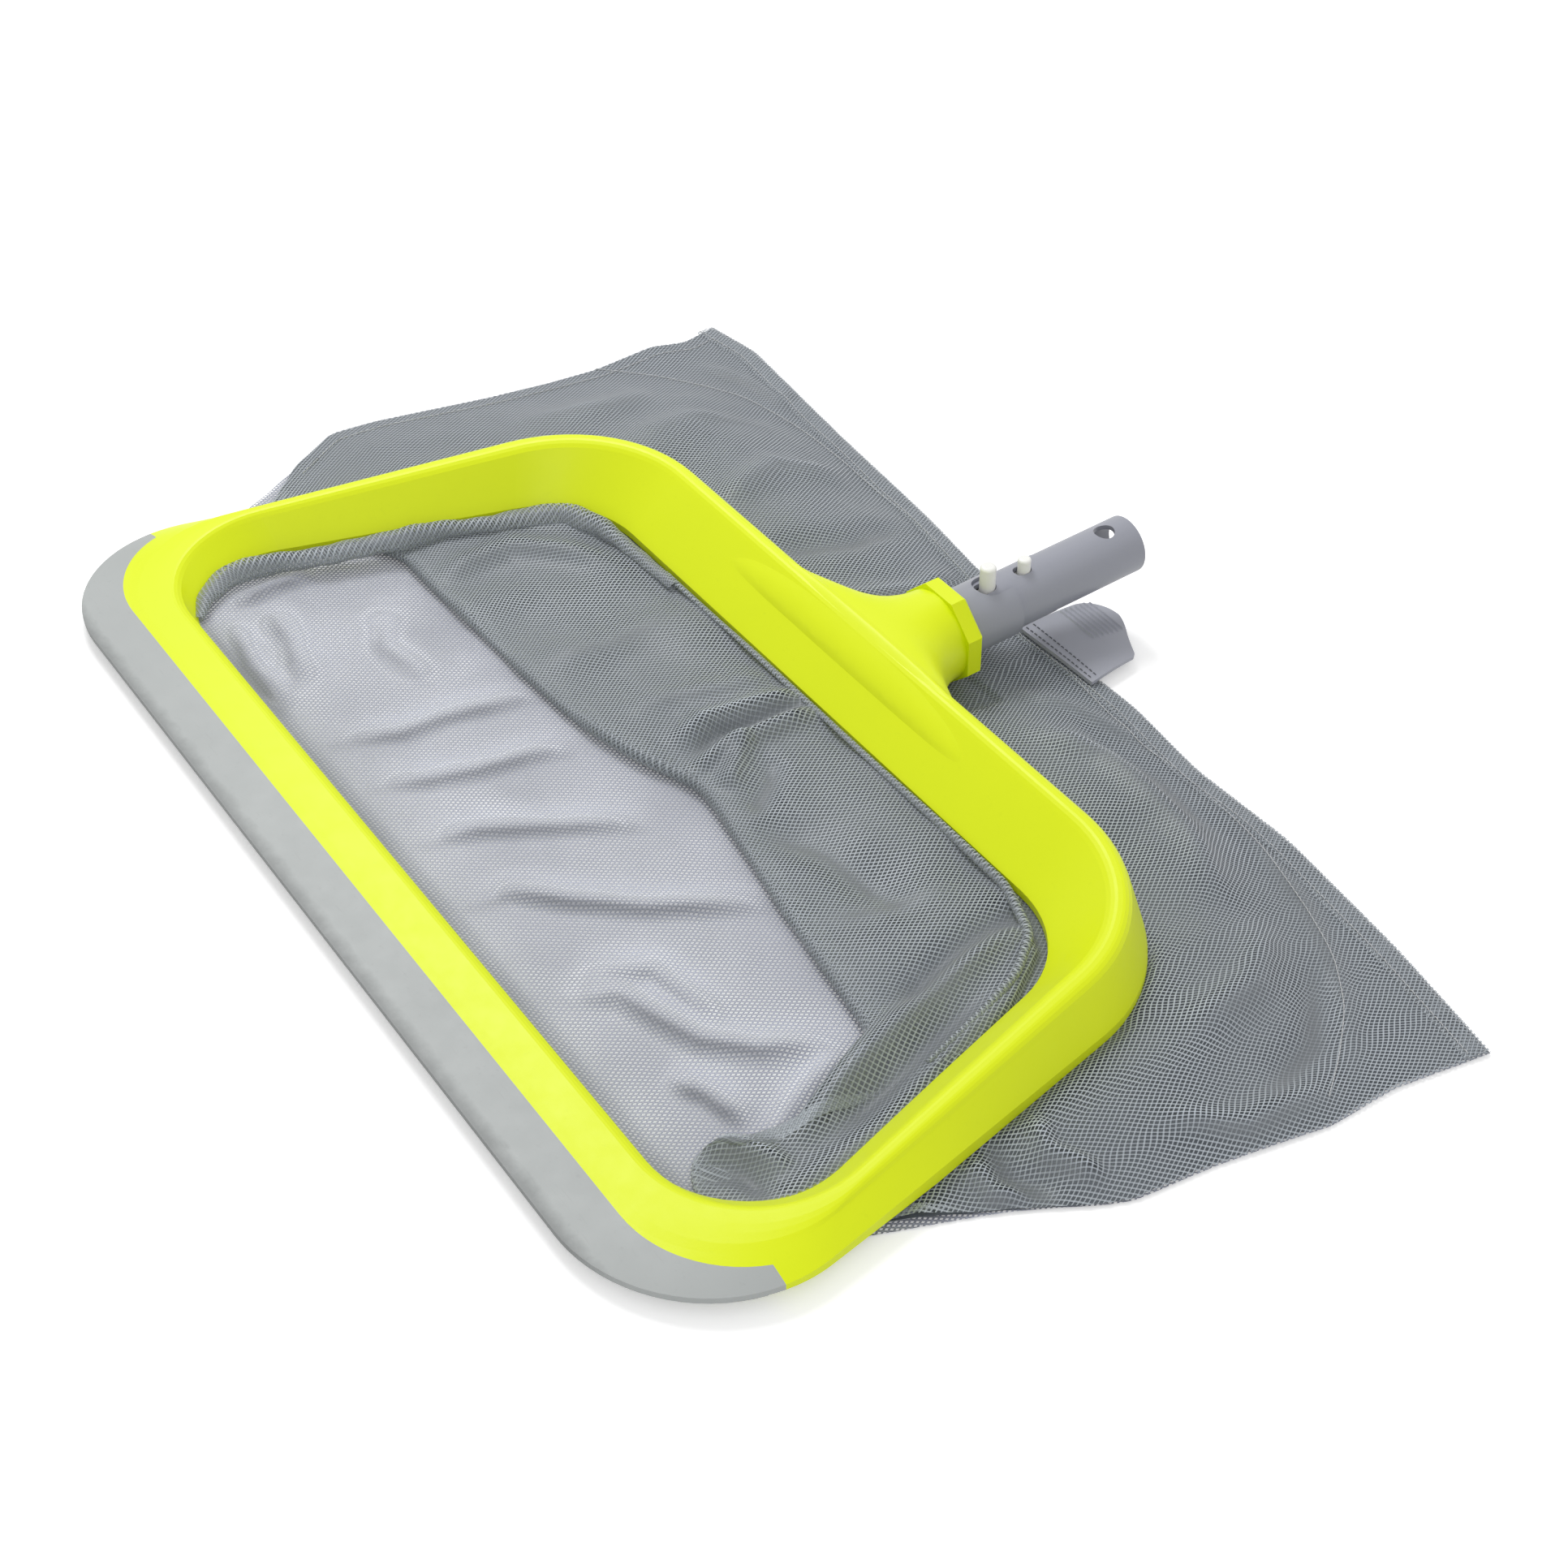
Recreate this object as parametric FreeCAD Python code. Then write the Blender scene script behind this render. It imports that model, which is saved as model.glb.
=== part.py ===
import FreeCAD, Part
import math
import os

# Leaf skimmer net for a pool: a moulded hoop with a scraper lip, a hemmed net bag and a clip handle.
# Hoop and handle are drawn in the plane of the hoop: X across, Y from the lip to the handle, Z = 0
# on the flat top of the rim. That plane is then tipped back by rest_tilt, so that the lip and the
# collar lie on the floor. The net bag is drawn directly on the floor, Z = 0.

V = FreeCAD.Vector

# Hoop, plan of the rim crest: half widths at the corner points, and their distance from the lip
crest_front_half = 253.0
crest_back_half = 202.0
crest_front_y = 36.0
crest_back_y = 279.5
crest_front_radius = 54.0
crest_back_radius = 71.0
crest_flat = 2.4
crest_outer_round = ((3.2, 26.0, 0.010), (1.8, 31.0, 0.004), (0.4, 35.0, 0.0008))
crest_inner_round = ((4.3, 2.3), (2.7, 1.0), (1.2, 0.25))

# Mouth of the hoop: its upper edge is a plane that falls towards the handle
mouth_front_half = 237.0
mouth_back_half = 183.5
mouth_front_y = 45.0
mouth_back_y = 248.5
mouth_front_radius = 45.0
mouth_back_radius = 48.5
mouth_edge_at_lip = 7.9
mouth_edge_fall = 0.0665

# Underside of the hoop: a plane too, with a shallower one under the lip
underside_at_lip = 9.6
underside_fall = 0.075
wall_flare = 11.0
shoulder_flare = 4.5
shoulder_fall = 0.022
wall_thickness = 3.2
rib_thickness = 2.4
rib_count_side = 5
rib_count_back = 4
channel_start_y = 75.0

# Scraper lip
lip_overhang = 18.5
lip_half = crest_front_half + lip_overhang
lip_radius = 62.0
lip_edge_thickness = 3.0
lip_edge_fall = 0.096
lip_joint_y = 22.0
lip_joint_radius = 50.0
lip_end_y = 54.0
lip_core_margin = 14.0
lip_core_slope = 8.0
wall_full_y = 128.0
lip_tongue = 3.0
lip_tongue_height = 1.4

# Neck, barrel and eight-sided collar
axis_depth = 23.0
neck_fillet_wide = 76.0
neck_fillet_deep = 41.0
neck_root_y = 262.0
neck_swell = 1.6
barrel_radius = 22.0
collar_flats = 46.0
collar_start_y = 318.5
collar_face_y = 327.0
collar_chamfer = 1.2
socket_depth = 38.0

# Handle tube
sleeve_radius = 16.0
spigot_radius = 14.25
nose_radius = 14.0
tube_bore_radius = 11.75
sleeve_end_y = 356.5
nose_start_y = 380.0
tube_end_y = 431.0
hang_hole_y = 416.4
hang_hole_radius = 5.0
socket_clearance = 0.1

# Clip in the tube: release button, lock button, springy arm and the leg that is held
release_y = 347.0
release_radius = 3.75
release_stand = 11.5
lock_y = 368.4
lock_radius = 3.1
lock_stand = 6.0
hinge_y = 394.0
press_angle = 13.0
clip_width = 8.0
clip_thickness = 1.6
clip_seat_gap = 0.05
arm_height = 7.4
arm_end_margin = 6.0
hinge_gap = 0.15
button_base_radius = 4.6
button_base_height = 1.2
button_clearance = 0.35
notch_margin = 3.6
pip_radius = 1.5
pip_y = 352.0
pip_clearance = 0.15

# Screws that hold the tube in the barrel
screw_y = (302.0, 313.0)
screw_shank_radius = 1.75
screw_head_radius = 3.4
screw_head_height = 2.2
screw_reach = 3.0
screw_clearance = 0.05

# Hem of the net in its groove under the hoop
hem_radius = 2.0
hem_cord_radius = 1.2
hem_clearance = 0.1
hem_inset = 4.6
hem_sink = 1.4

# Net bag on the floor
net_thickness = 0.6
bag_half_end = 312.0
bag_half_waist = 303.0
bag_half_front = 236.0
bag_front_y = 47.0
bag_hoop_side_y = 116.0
bag_waist_y = 178.0
bag_end_y = 392.0
bag_pocket_height = 5.0
neck_press_half = 34.0
neck_press_y = (284.0, 334.0)
bag_seam_width = 16.0
bag_pocket_margin = 24.0
bag_corner_radius = 14.0
fold_edge_y = 158.0
fold_half = 176.0
fold_back_y = 236.0
fold_rise = 3.0

# Pull tab sewn to the end of the bag
tab_length = 49.0
tab_half_width = 25.0
tab_offset_x = 17.0
tab_thickness = 1.8
tab_overlap = 13.0
tab_corner_radius = 20.0
tab_rib_count = 7
tab_rib_pitch = 3.0
tab_rib_height = 0.6
tab_rib_length = 24.0
tab_rib_shift = -9.0

# Lie of the hoop on the floor
rest_tilt = 7.5
lip_top_height = 8.4

tilt = math.radians(rest_tilt)
lip_lift = lip_top_height
overall_depth = tube_end_y * math.cos(tilt) + (axis_depth + nose_radius) * math.sin(tilt)


def lay(shape):
    """Tip a shape from the hoop's own plane onto the floor, with Y = 0 in the middle of the depth."""
    s = shape.copy()
    s.rotate(V(0, 0, 0), V(1, 0, 0), rest_tilt)
    s.translate(V(0, -overall_depth / 2, lip_lift))
    return s


def on_floor(shape):
    s = shape.copy()
    s.translate(V(0, -overall_depth / 2, 0))
    return s


def corner(p0, p1, p2, radius):
    """Start, middle and end of the round that joins two lines at p1."""
    a = p0.sub(p1)
    a.normalize()
    b = p2.sub(p1)
    b.normalize()
    half = a.getAngle(b) / 2
    reach = radius / math.tan(half)
    bisector = a.add(b)
    bisector.normalize()
    middle = p1.add(bisector.multiply(radius / math.sin(half) - radius))
    return p1.add(a.multiply(reach)), middle, p1.add(b.multiply(reach))


def rounded(points, radii):
    """Closed wire through points, with a round at each corner whose radius isn't zero."""
    n = len(points)
    starts, arcs = [], []
    for i in range(n):
        if radii[i] > 0:
            arcs.append(corner(points[i - 1], points[i], points[(i + 1) % n], radii[i]))
        else:
            arcs.append((points[i], None, points[i]))
    edges = []
    for i in range(n):
        start, middle, end = arcs[i]
        if middle is not None:
            edges.append(Part.Arc(start, middle, end).toShape())
        edges.append(Part.LineSegment(end, arcs[(i + 1) % n][0]).toShape())
    return Part.Wire(edges)


def ring(front_half, front_y, back_half, back_y, front_r, back_r, grow=0.0, height=0.0, fall=0.0):
    """Rounded trapezoid round the mouth, grown outwards, in a plane that falls towards the handle."""
    pts = [V(-front_half - grow, front_y - grow, 0), V(front_half + grow, front_y - grow, 0),
           V(back_half + grow, back_y + grow, 0), V(-back_half - grow, back_y + grow, 0)]
    wire = rounded(pts, [front_r + grow, front_r + grow, back_r + grow, back_r + grow])
    wire.rotate(V(0, 0, 0), V(1, 0, 0), -math.degrees(math.atan(fall)))
    wire.translate(V(0, 0, height))
    return wire


def crest_ring(grow, height, fall=0.0, front_y=None):
    y = crest_front_y if front_y is None else front_y + grow
    return ring(crest_front_half, y, crest_back_half, crest_back_y,
                crest_front_radius, crest_back_radius, grow, height, fall)


def mouth_ring(grow, height, fall):
    return ring(mouth_front_half, mouth_front_y, mouth_back_half, mouth_back_y,
                mouth_front_radius, mouth_back_radius, grow, height, fall)


def edge_ring(inset, height, fall, flare=None):
    """Outer loop of the form: the lip's plan in front, a flared wall at the sides and back."""
    side = wall_flare if flare is None else flare
    back_y = crest_back_y + side
    back_half = lip_half - (lip_half - crest_back_half - wall_flare) * back_y / (crest_back_y + wall_flare)
    return ring(lip_half - inset, inset, back_half - inset, back_y - inset,
                lip_radius, crest_back_radius + wall_flare, 0.0, height, fall)


def loft(*wires):
    return Part.makeLoft(list(wires), True, True)


def box(x0, y0, z0, x1, y1, z1):
    return Part.makeBox(x1 - x0, y1 - y0, z1 - z0, V(x0, y0, z0))


def axis_cylinder(radius, y0, y1):
    return Part.makeCylinder(radius, y1 - y0, V(0, y0, -axis_depth), V(0, 1, 0))


def post(radius, x, y, z0, z1):
    return Part.makeCylinder(radius, z1 - z0, V(x, y, z0), V(0, 0, 1))


def slot_prism(radius, y0, y1, z0, z1):
    """Upright slot, rounded at both ends, from y0 to y1 between its end centres."""
    shape = post(radius, 0, y0, z0, z1).fuse(post(radius, 0, y1, z0, z1))
    return shape.fuse(box(-radius, y0, z0, radius, y1, z1)).removeSplitter()


def underside(y):
    return -underside_at_lip - underside_fall * y


def mouth_edge(y):
    return -mouth_edge_at_lip - mouth_edge_fall * y


def ring_pipe(path, radius, x, y, z):
    """Round rod along a closed ring, with its section set up at one point of a straight run."""
    section = Part.Wire(Part.makeCircle(radius, V(x, y, z), V(1, 0, 0)))
    return path.makePipeShell([section], True, True)


def lip_zone(grow=0.0, front=-20.0):
    """Plan of everything in front of and beside the joint between lip and hoop."""
    inner = [V(-crest_front_half - grow, lip_joint_y - grow, 0),
             V(crest_front_half + grow, lip_joint_y - grow, 0),
             V(crest_front_half + grow, 3 * lip_end_y, 0), V(-crest_front_half - grow, 3 * lip_end_y, 0)]
    hole = Part.Face(rounded(inner, [lip_joint_radius, lip_joint_radius, 0, 0]))
    wide = 2 * lip_half
    outer = Part.Face(Part.makePolygon([V(-wide, front, 0), V(wide, front, 0), V(wide, lip_end_y, 0),
                                        V(-wide, lip_end_y, 0), V(-wide, front, 0)]))
    plan = outer.cut(hole)
    plan.translate(V(0, 0, -60))
    return plan.extrude(V(0, 0, 120))


def neck():
    """Round barrel that widens into the back bar through a long concave fillet, in rounded sections."""
    bar_bottom = underside(crest_back_y)
    low = -axis_depth - barrel_radius
    high = -axis_depth + barrel_radius
    wide = barrel_radius + neck_fillet_wide
    end = collar_start_y + 1.0
    slope = mouth_edge(mouth_back_y) / (crest_back_y - crest_flat - mouth_back_y)
    stations = []
    for y in (neck_root_y, neck_root_y + 7.0):
        foot = (crest_back_y - crest_flat - y) * slope
        stations.append((y, wide + 4.0, foot - 0.6 + 0.45 * (y - neck_root_y), bar_bottom + 6.0, 3.4))
    for angle in (84.0, 70.0, 56.0, 42.0, 28.0, 14.0, 0.0):
        a = math.radians(angle)
        t = 1.0 - angle / 84.0
        blend = t * t * (3 - 2 * t)
        top = high * blend + neck_swell * math.sin(math.pi * (0.22 + 0.78 * t)) * (1 - blend)
        bottom = bar_bottom + 6.0 + (low - bar_bottom - 6.0) * min(1.0, 1.25 * blend)
        stations.append((end - neck_fillet_deep * math.sin(a), wide - neck_fillet_wide * math.cos(a),
                         top, bottom, 3.4 - 1.4 * min(1.0, 1.25 * blend)))
    wires = []
    steps = 28
    for y, half, top, bottom, power in stations:
        mid = (top + bottom) / 2
        tall = (top - bottom) / 2
        points = []
        for i in range(steps):
            a = 2 * math.pi * (i + 0.5) / steps
            c, n = math.cos(a), math.sin(a)
            points.append(V(half * math.copysign(abs(c) ** (2 / power), c), y,
                            mid + tall * math.copysign(abs(n) ** (2 / power), n)))
        curve = Part.BSplineCurve()
        curve.interpolate(points, PeriodicFlag=True)
        wires.append(Part.Wire(curve.toShape()))
    return Part.makeLoft(wires, True, False)


def collar():
    """Eight-sided flange with a chamfer on its outer face."""
    def octagon(flats, y):
        r = flats / 2 / math.cos(math.pi / 8)
        pts = [V(r * math.cos(math.pi / 8 + k * math.pi / 4), y,
                 -axis_depth + r * math.sin(math.pi / 8 + k * math.pi / 4)) for k in range(9)]
        return Part.makePolygon(pts)
    body = loft(octagon(collar_flats, collar_start_y), octagon(collar_flats, collar_face_y - collar_chamfer))
    face = loft(octagon(collar_flats, collar_face_y - collar_chamfer),
                octagon(collar_flats - 2 * collar_chamfer, collar_face_y))
    return body.fuse(face)


def shoulder_ring(grow, front_y, fall):
    return ring(crest_front_half + grow, front_y, crest_back_half + grow, crest_back_y + grow,
                lip_joint_radius, crest_back_radius + grow, 0.0, 0.0, fall)


def rim_form():
    """Lip and hoop as one outer form, before the mouth and the channel are cut."""
    bottom = edge_ring(0.0, -underside_at_lip, underside_fall)
    edge = edge_ring(0.0, -0.2, lip_edge_fall)
    rings = [bottom, edge, shoulder_ring(shoulder_flare, lip_joint_y, shoulder_fall)]
    rings += [shoulder_ring(grow, front_y, fall) for grow, front_y, fall in crest_outer_round]
    rings.append(crest_ring(-0.6, 0.0))
    form = loft(rings[0], rings[1])
    form = form.fuse([loft(a, b) for a, b in zip(rings[1:-1], rings[2:])])
    return form.cut([lip_hollow(), wall_run_out()])


def under_core():
    """Foot of the wall that carries the hem groove: the cuts under the lip leave it whole."""
    return loft(mouth_ring(lip_core_margin, -underside_at_lip - 16.0, underside_fall),
                mouth_ring(lip_core_margin + lip_core_slope, -underside_at_lip + 12.0, underside_fall))


def below(height, fall, y0, y1):
    """Everything below a plane that has this height at y = 0, between two distances from the lip."""
    slab = box(-400, y0, -60, 400, y1, 0)
    slab.rotate(V(0, 0, 0), V(1, 0, 0), -math.degrees(math.atan(fall)))
    slab.translate(V(0, 0, height))
    return slab


def lip_hollow():
    """Space under the lip, in front of the wall that carries the hem groove."""
    return below(-0.2 - lip_edge_thickness, lip_edge_fall, -20, lip_end_y).cut(under_core())


def wall_run_out():
    """The outer wall starts as low as the lip is thin, and deepens to its full height."""
    z0 = -0.2 - lip_edge_thickness - lip_edge_fall * lip_end_y
    z1 = underside(wall_full_y)
    fall = (z0 - z1) / (wall_full_y - lip_end_y)
    cut = below(z0 + fall * lip_end_y, fall, lip_end_y - 6.0, wall_full_y + 2.0)
    return cut.cut(under_core())


def mouth_cut():
    edge = mouth_ring(0.0, -mouth_edge_at_lip, mouth_edge_fall)
    low = mouth_ring(0.0, -mouth_edge_at_lip - 30, mouth_edge_fall)
    rings = [low, edge]
    rings += [crest_ring(-crest_flat - grow, -drop) for grow, drop in crest_inner_round]
    rings += [crest_ring(-crest_flat, 0.0), crest_ring(-crest_flat + 6.0, 12.0)]
    return loft(low, edge).fuse([loft(a, b) for a, b in zip(rings[1:-1], rings[2:])])


def channel():
    """Space under the crest of the side and back bars, open below, left whole at its ribs."""
    t = wall_thickness
    outer_low = ring(crest_front_half + wall_flare - t, crest_front_y, crest_back_half + wall_flare - t,
                     crest_back_y + wall_flare - t, crest_front_radius, crest_back_radius + wall_flare - t,
                     0.0, -underside_at_lip - 1.0, underside_fall)
    outer_high = crest_ring(-0.5 * t, -1.7 * t)
    inner_low = mouth_ring(hem_inset + hem_radius + t, -underside_at_lip - 1.5, underside_fall)
    inner_high = crest_ring(-crest_flat - 0.3 * t, -1.5 * t)
    space = loft(outer_low, outer_high).cut(loft(inner_low, inner_high))
    keep = box(-400, channel_start_y, -80, 400, crest_back_y + 60, 10)
    plain = barrel_radius + neck_fillet_wide + 8.0
    keep = keep.cut(box(-plain, mouth_back_y - 10, -80, plain, crest_back_y + 60, 10))
    space = space.common(keep)
    ribs = []
    lean = math.degrees(math.atan((crest_front_half - crest_back_half) / (crest_back_y - crest_front_y)))
    run = crest_back_y - crest_back_radius - channel_start_y
    for side in (-1, 1):
        for k in range(rib_count_side):
            y = channel_start_y + run * (k + 1) / rib_count_side
            middle = crest_front_half - (y - crest_front_y) * math.tan(math.radians(lean))
            rib = box(-40, -rib_thickness / 2, -80, 40, rib_thickness / 2, 10)
            rib.rotate(V(0, 0, 0), V(0, 0, 1), side * lean)
            rib.translate(V(side * middle, y, 0))
            ribs.append(rib)
        span = crest_back_half - crest_back_radius - plain
        for k in range(rib_count_back // 2):
            x = side * (plain + span * (k + 1) / (rib_count_back // 2))
            ribs.append(box(x - rib_thickness / 2, mouth_back_y - 10, -80,
                            x + rib_thickness / 2, crest_back_y + 60, 10))
    return space.cut(ribs)


def hem_path(sink):
    return mouth_ring(hem_inset, -underside_at_lip - sink, underside_fall)


def hem_rod(radius):
    """A rod along the groove; its section stands on the straight run behind the lip."""
    path = hem_path(-hem_sink)
    y = (mouth_front_y - hem_inset) * math.cos(math.atan(underside_fall))
    z = -underside_at_lip + hem_sink - (mouth_front_y - hem_inset) * math.sin(math.atan(underside_fall))
    return ring_pipe(path, radius, 0, y, z)


def hoop_frame():
    body = rim_form().cut(mouth_cut())
    body = body.cut(lip_zone())
    body = body.cut(lip_groove())
    body = body.cut(channel())
    body = body.fuse([neck(), collar()])
    body = body.cut(axis_cylinder(sleeve_radius + socket_clearance, collar_face_y - socket_depth,
                                  collar_face_y + 5))
    for y in screw_y:
        low = -axis_depth - barrel_radius - 2
        body = body.cut(post(screw_shank_radius + screw_clearance, 0, y, low, -axis_depth))
        body = body.cut(post(screw_head_radius + screw_clearance, 0, y, low,
                             -axis_depth - sleeve_radius - 1.4))
    body = body.cut(hem_rod(hem_radius + hem_clearance))
    return body


def lip_groove():
    """Groove in the front edge of the hoop that takes the tongue of the lip."""
    tongue = lip_tongue_form(0.0)
    return tongue


def lip_tongue_form(clearance):
    mid = (underside(lip_joint_y)) / 2
    return box(-crest_front_half + lip_joint_radius, lip_joint_y - 0.5, mid - lip_tongue_height / 2,
               crest_front_half - lip_joint_radius, lip_joint_y + lip_tongue - clearance,
               mid + lip_tongue_height / 2)


def scraper_lip():
    body = rim_form().cut(mouth_cut()).common(lip_zone())
    return body.fuse(lip_tongue_form(0.0)).removeSplitter()


def handle_tube():
    root_y = collar_face_y - socket_depth
    body = axis_cylinder(sleeve_radius, root_y, sleeve_end_y)
    body = body.fuse(axis_cylinder(spigot_radius, root_y, nose_start_y))
    body = body.fuse(axis_cylinder(nose_radius, root_y, tube_end_y))
    body = body.cut(axis_cylinder(tube_bore_radius, root_y - 5, tube_end_y + 5))
    notch = slot_prism(release_radius + notch_margin, release_y, sleeve_end_y + 20,
                       -axis_depth, -axis_depth + sleeve_radius + 5)
    notch = notch.cut(axis_cylinder(spigot_radius, root_y - 5, tube_end_y + 5))
    body = body.cut(notch)
    for y, radius, slide in ((release_y, release_radius, slot_slide(release_y)),
                             (lock_y, lock_radius, slot_slide(lock_y))):
        body = body.cut(slot_prism(radius + button_clearance, y - slide, y,
                                   -axis_depth, -axis_depth + sleeve_radius + 5))
    body = body.cut(post(hang_hole_radius, 0, hang_hole_y, -axis_depth - 30, -axis_depth + 30))
    body = body.cut(post(pip_radius + pip_clearance, 0, pip_y, -axis_depth - 30, -axis_depth))
    for y in screw_y:
        body = body.cut(post(screw_shank_radius + screw_clearance, 0, y, -axis_depth - 30, -axis_depth))
    return body


def slot_slide(y):
    """How far a button's centre line moves towards the hoop in the tube wall when it is pressed."""
    a = math.radians(press_angle)
    above = spigot_radius - arm_height
    return ((hinge_y - y) + above * math.sin(a)) / math.cos(a) - (hinge_y - y)


def clip_leg_height():
    """Underside of the held leg, set so that its corners sit on the tube's bore."""
    return -math.sqrt((tube_bore_radius - clip_seat_gap) ** 2 - (clip_width / 2) ** 2)


def clip_base():
    w = clip_width / 2
    low = clip_leg_height() - axis_depth
    top = arm_height + clip_thickness - axis_depth
    leg = box(-w, release_y - arm_end_margin, low, w, hinge_y, low + clip_thickness)
    outer = (top - low) / 2
    middle = (top + low) / 2
    bend = Part.makeCylinder(outer, clip_width, V(-w, hinge_y, middle), V(1, 0, 0))
    bend = bend.cut(Part.makeCylinder(outer - clip_thickness, clip_width, V(-w, hinge_y, middle), V(1, 0, 0)))
    bend = bend.cut(box(-2 * w, hinge_y - 2 * outer, low - 5, 2 * w, hinge_y, top + 5))
    bend = bend.cut(Part.makeCylinder(clip_thickness / 2 + hinge_gap, clip_width,
                                      V(-w, hinge_y, top - clip_thickness / 2), V(1, 0, 0)))
    pip = post(pip_radius, 0, pip_y, -axis_depth - tube_bore_radius - 1.5, low + clip_thickness)
    return leg.fuse([bend, pip]).removeSplitter()


def clip_arm():
    w = clip_width / 2
    z = arm_height - axis_depth
    arm = box(-w, release_y - arm_end_margin, z, w, hinge_y, z + clip_thickness)
    arm = arm.fuse(Part.makeCylinder(clip_thickness / 2, clip_width,
                                     V(-w, hinge_y, z + clip_thickness / 2), V(1, 0, 0)))
    for y in (release_y, lock_y):
        arm = arm.cut(post(0.6 * lock_radius, 0, y, z - 1, z + clip_thickness + 1))
    return arm


def button(y, radius, stand, rounding):
    """Peg riveted in the arm, a base under the tube wall, and a pin with a rounded top."""
    z = arm_height + clip_thickness - axis_depth
    top = spigot_radius + stand - axis_depth
    pin = post(radius, 0, y, z, top)
    pin = pin.makeFillet(rounding, [e for e in pin.Edges if abs(e.CenterOfMass.z - top) < 0.01])
    base = post(button_base_radius, 0, y, z, z + button_base_height)
    peg = post(0.6 * lock_radius, 0, y, z - clip_thickness, z)
    return pin.fuse([base, peg]).removeSplitter()


def handle_screws():
    solids = []
    for y in screw_y:
        head_top = -axis_depth - sleeve_radius - 1.4
        head = post(screw_head_radius, 0, y, head_top - screw_head_height, head_top)
        shank = post(screw_shank_radius, 0, y, head_top - 0.5, -axis_depth - tube_bore_radius + screw_reach)
        cross = box(-2.2, y - 0.4, head_top - screw_head_height - 1, 2.2, y + 0.4,
                    head_top - screw_head_height + 0.9)
        slot = box(-0.4, y - 2.2, head_top - screw_head_height - 1, 0.4, y + 2.2,
                   head_top - screw_head_height + 0.9)
        solids.append(head.fuse(shank).cut([cross, slot]))
    return Part.makeCompound(solids)


def floor_height(y):
    """Height above the floor of the hoop's underside, at distance y from the lip along the hoop."""
    return underside(y) * math.cos(tilt) + y * math.sin(tilt) + lip_lift


def bag_outline(inset, z):
    """Plan of the bag: narrow under the hoop, wide behind it."""
    i = inset
    right = [V(bag_half_front - i, bag_front_y + i, z), V(crest_front_half - i, bag_hoop_side_y + i, z),
             V(bag_half_waist - i, bag_waist_y + i, z), V(bag_half_end - i, bag_end_y - i, z)]
    left = [V(-p.x, p.y, p.z) for p in reversed(right)]
    radii = [30.0, 0.0, 0.0, bag_corner_radius, bag_corner_radius, 0.0, 0.0, 30.0]
    return rounded(right + left, radii)


def net_lower_panel():
    return Part.Face(bag_outline(0.0, 0.0)).extrude(V(0, 0, net_thickness))


def net_upper_panel():
    """Upper ply: a low pocket behind the fold edge, and the slack ply that rises to the back bar."""
    t = net_thickness
    top = t + bag_pocket_height
    seam = bag_seam_width
    foot = seam + bag_pocket_margin
    outer = loft(bag_outline(seam, t), bag_outline(foot, top + t))
    inner = loft(bag_outline(seam + 2.2 * t, t), bag_outline(foot + 1.2 * t, top))
    margin = Part.Face(bag_outline(0.0, t)).extrude(V(0, 0, t))
    margin = margin.cut(Part.Face(bag_outline(seam + t, 0.0)).extrude(V(0, 0, 3 * t)))
    shell = outer.cut(inner).fuse(margin)
    shell = shell.common(box(-400, fold_edge_y, -1, 400, bag_end_y + 50, 60))
    half = neck_press_half
    y0, y1 = neck_press_y
    dent = box(-half - t, y0 - t, t, half + t, y1 + t, top + t).cut(box(-half, y0, 2 * t, half, y1, top + 2 * t))
    shell = shell.cut(box(-half, y0, -1, half, y1, 60)).fuse(dent)
    rise = floor_height(mouth_back_y) - hem_radius - 0.5
    pts = [V(-fold_half, fold_edge_y + 1.0, top + t), V(-fold_half, fold_edge_y + 30.0, top + t),
           V(-fold_half, fold_back_y, rise - t), V(-fold_half, fold_back_y, rise),
           V(-fold_half, fold_edge_y + 14.0, top + t + fold_rise),
           V(-fold_half, fold_edge_y + 1.0, top + t)]
    ply = Part.Face(Part.makePolygon(pts)).extrude(V(2 * fold_half, 0, 0))
    return shell.fuse(ply).removeSplitter()


def pull_tab():
    """Sewn tab with grip ribs across its free half."""
    y0 = bag_end_y - tab_overlap
    y1 = bag_end_y - tab_overlap + tab_length
    z = 2 * net_thickness
    pts = [V(tab_offset_x - tab_half_width, y0, z), V(tab_offset_x + tab_half_width, y0, z),
           V(tab_offset_x + tab_half_width, y1, z), V(tab_offset_x - tab_half_width, y1, z)]
    plate = Part.Face(rounded(pts, [0, 0, tab_corner_radius, tab_corner_radius]))
    body = plate.extrude(V(0, 0, tab_thickness))
    for k in range(tab_rib_count):
        y = y1 - 8.0 - k * tab_rib_pitch
        rib = Part.makeCylinder(tab_rib_height, tab_rib_length,
                                V(tab_offset_x + tab_rib_shift - tab_rib_length / 2, y, z + tab_thickness), V(1, 0, 0))
        body = body.fuse(rib)
    return body.removeSplitter()


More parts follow.
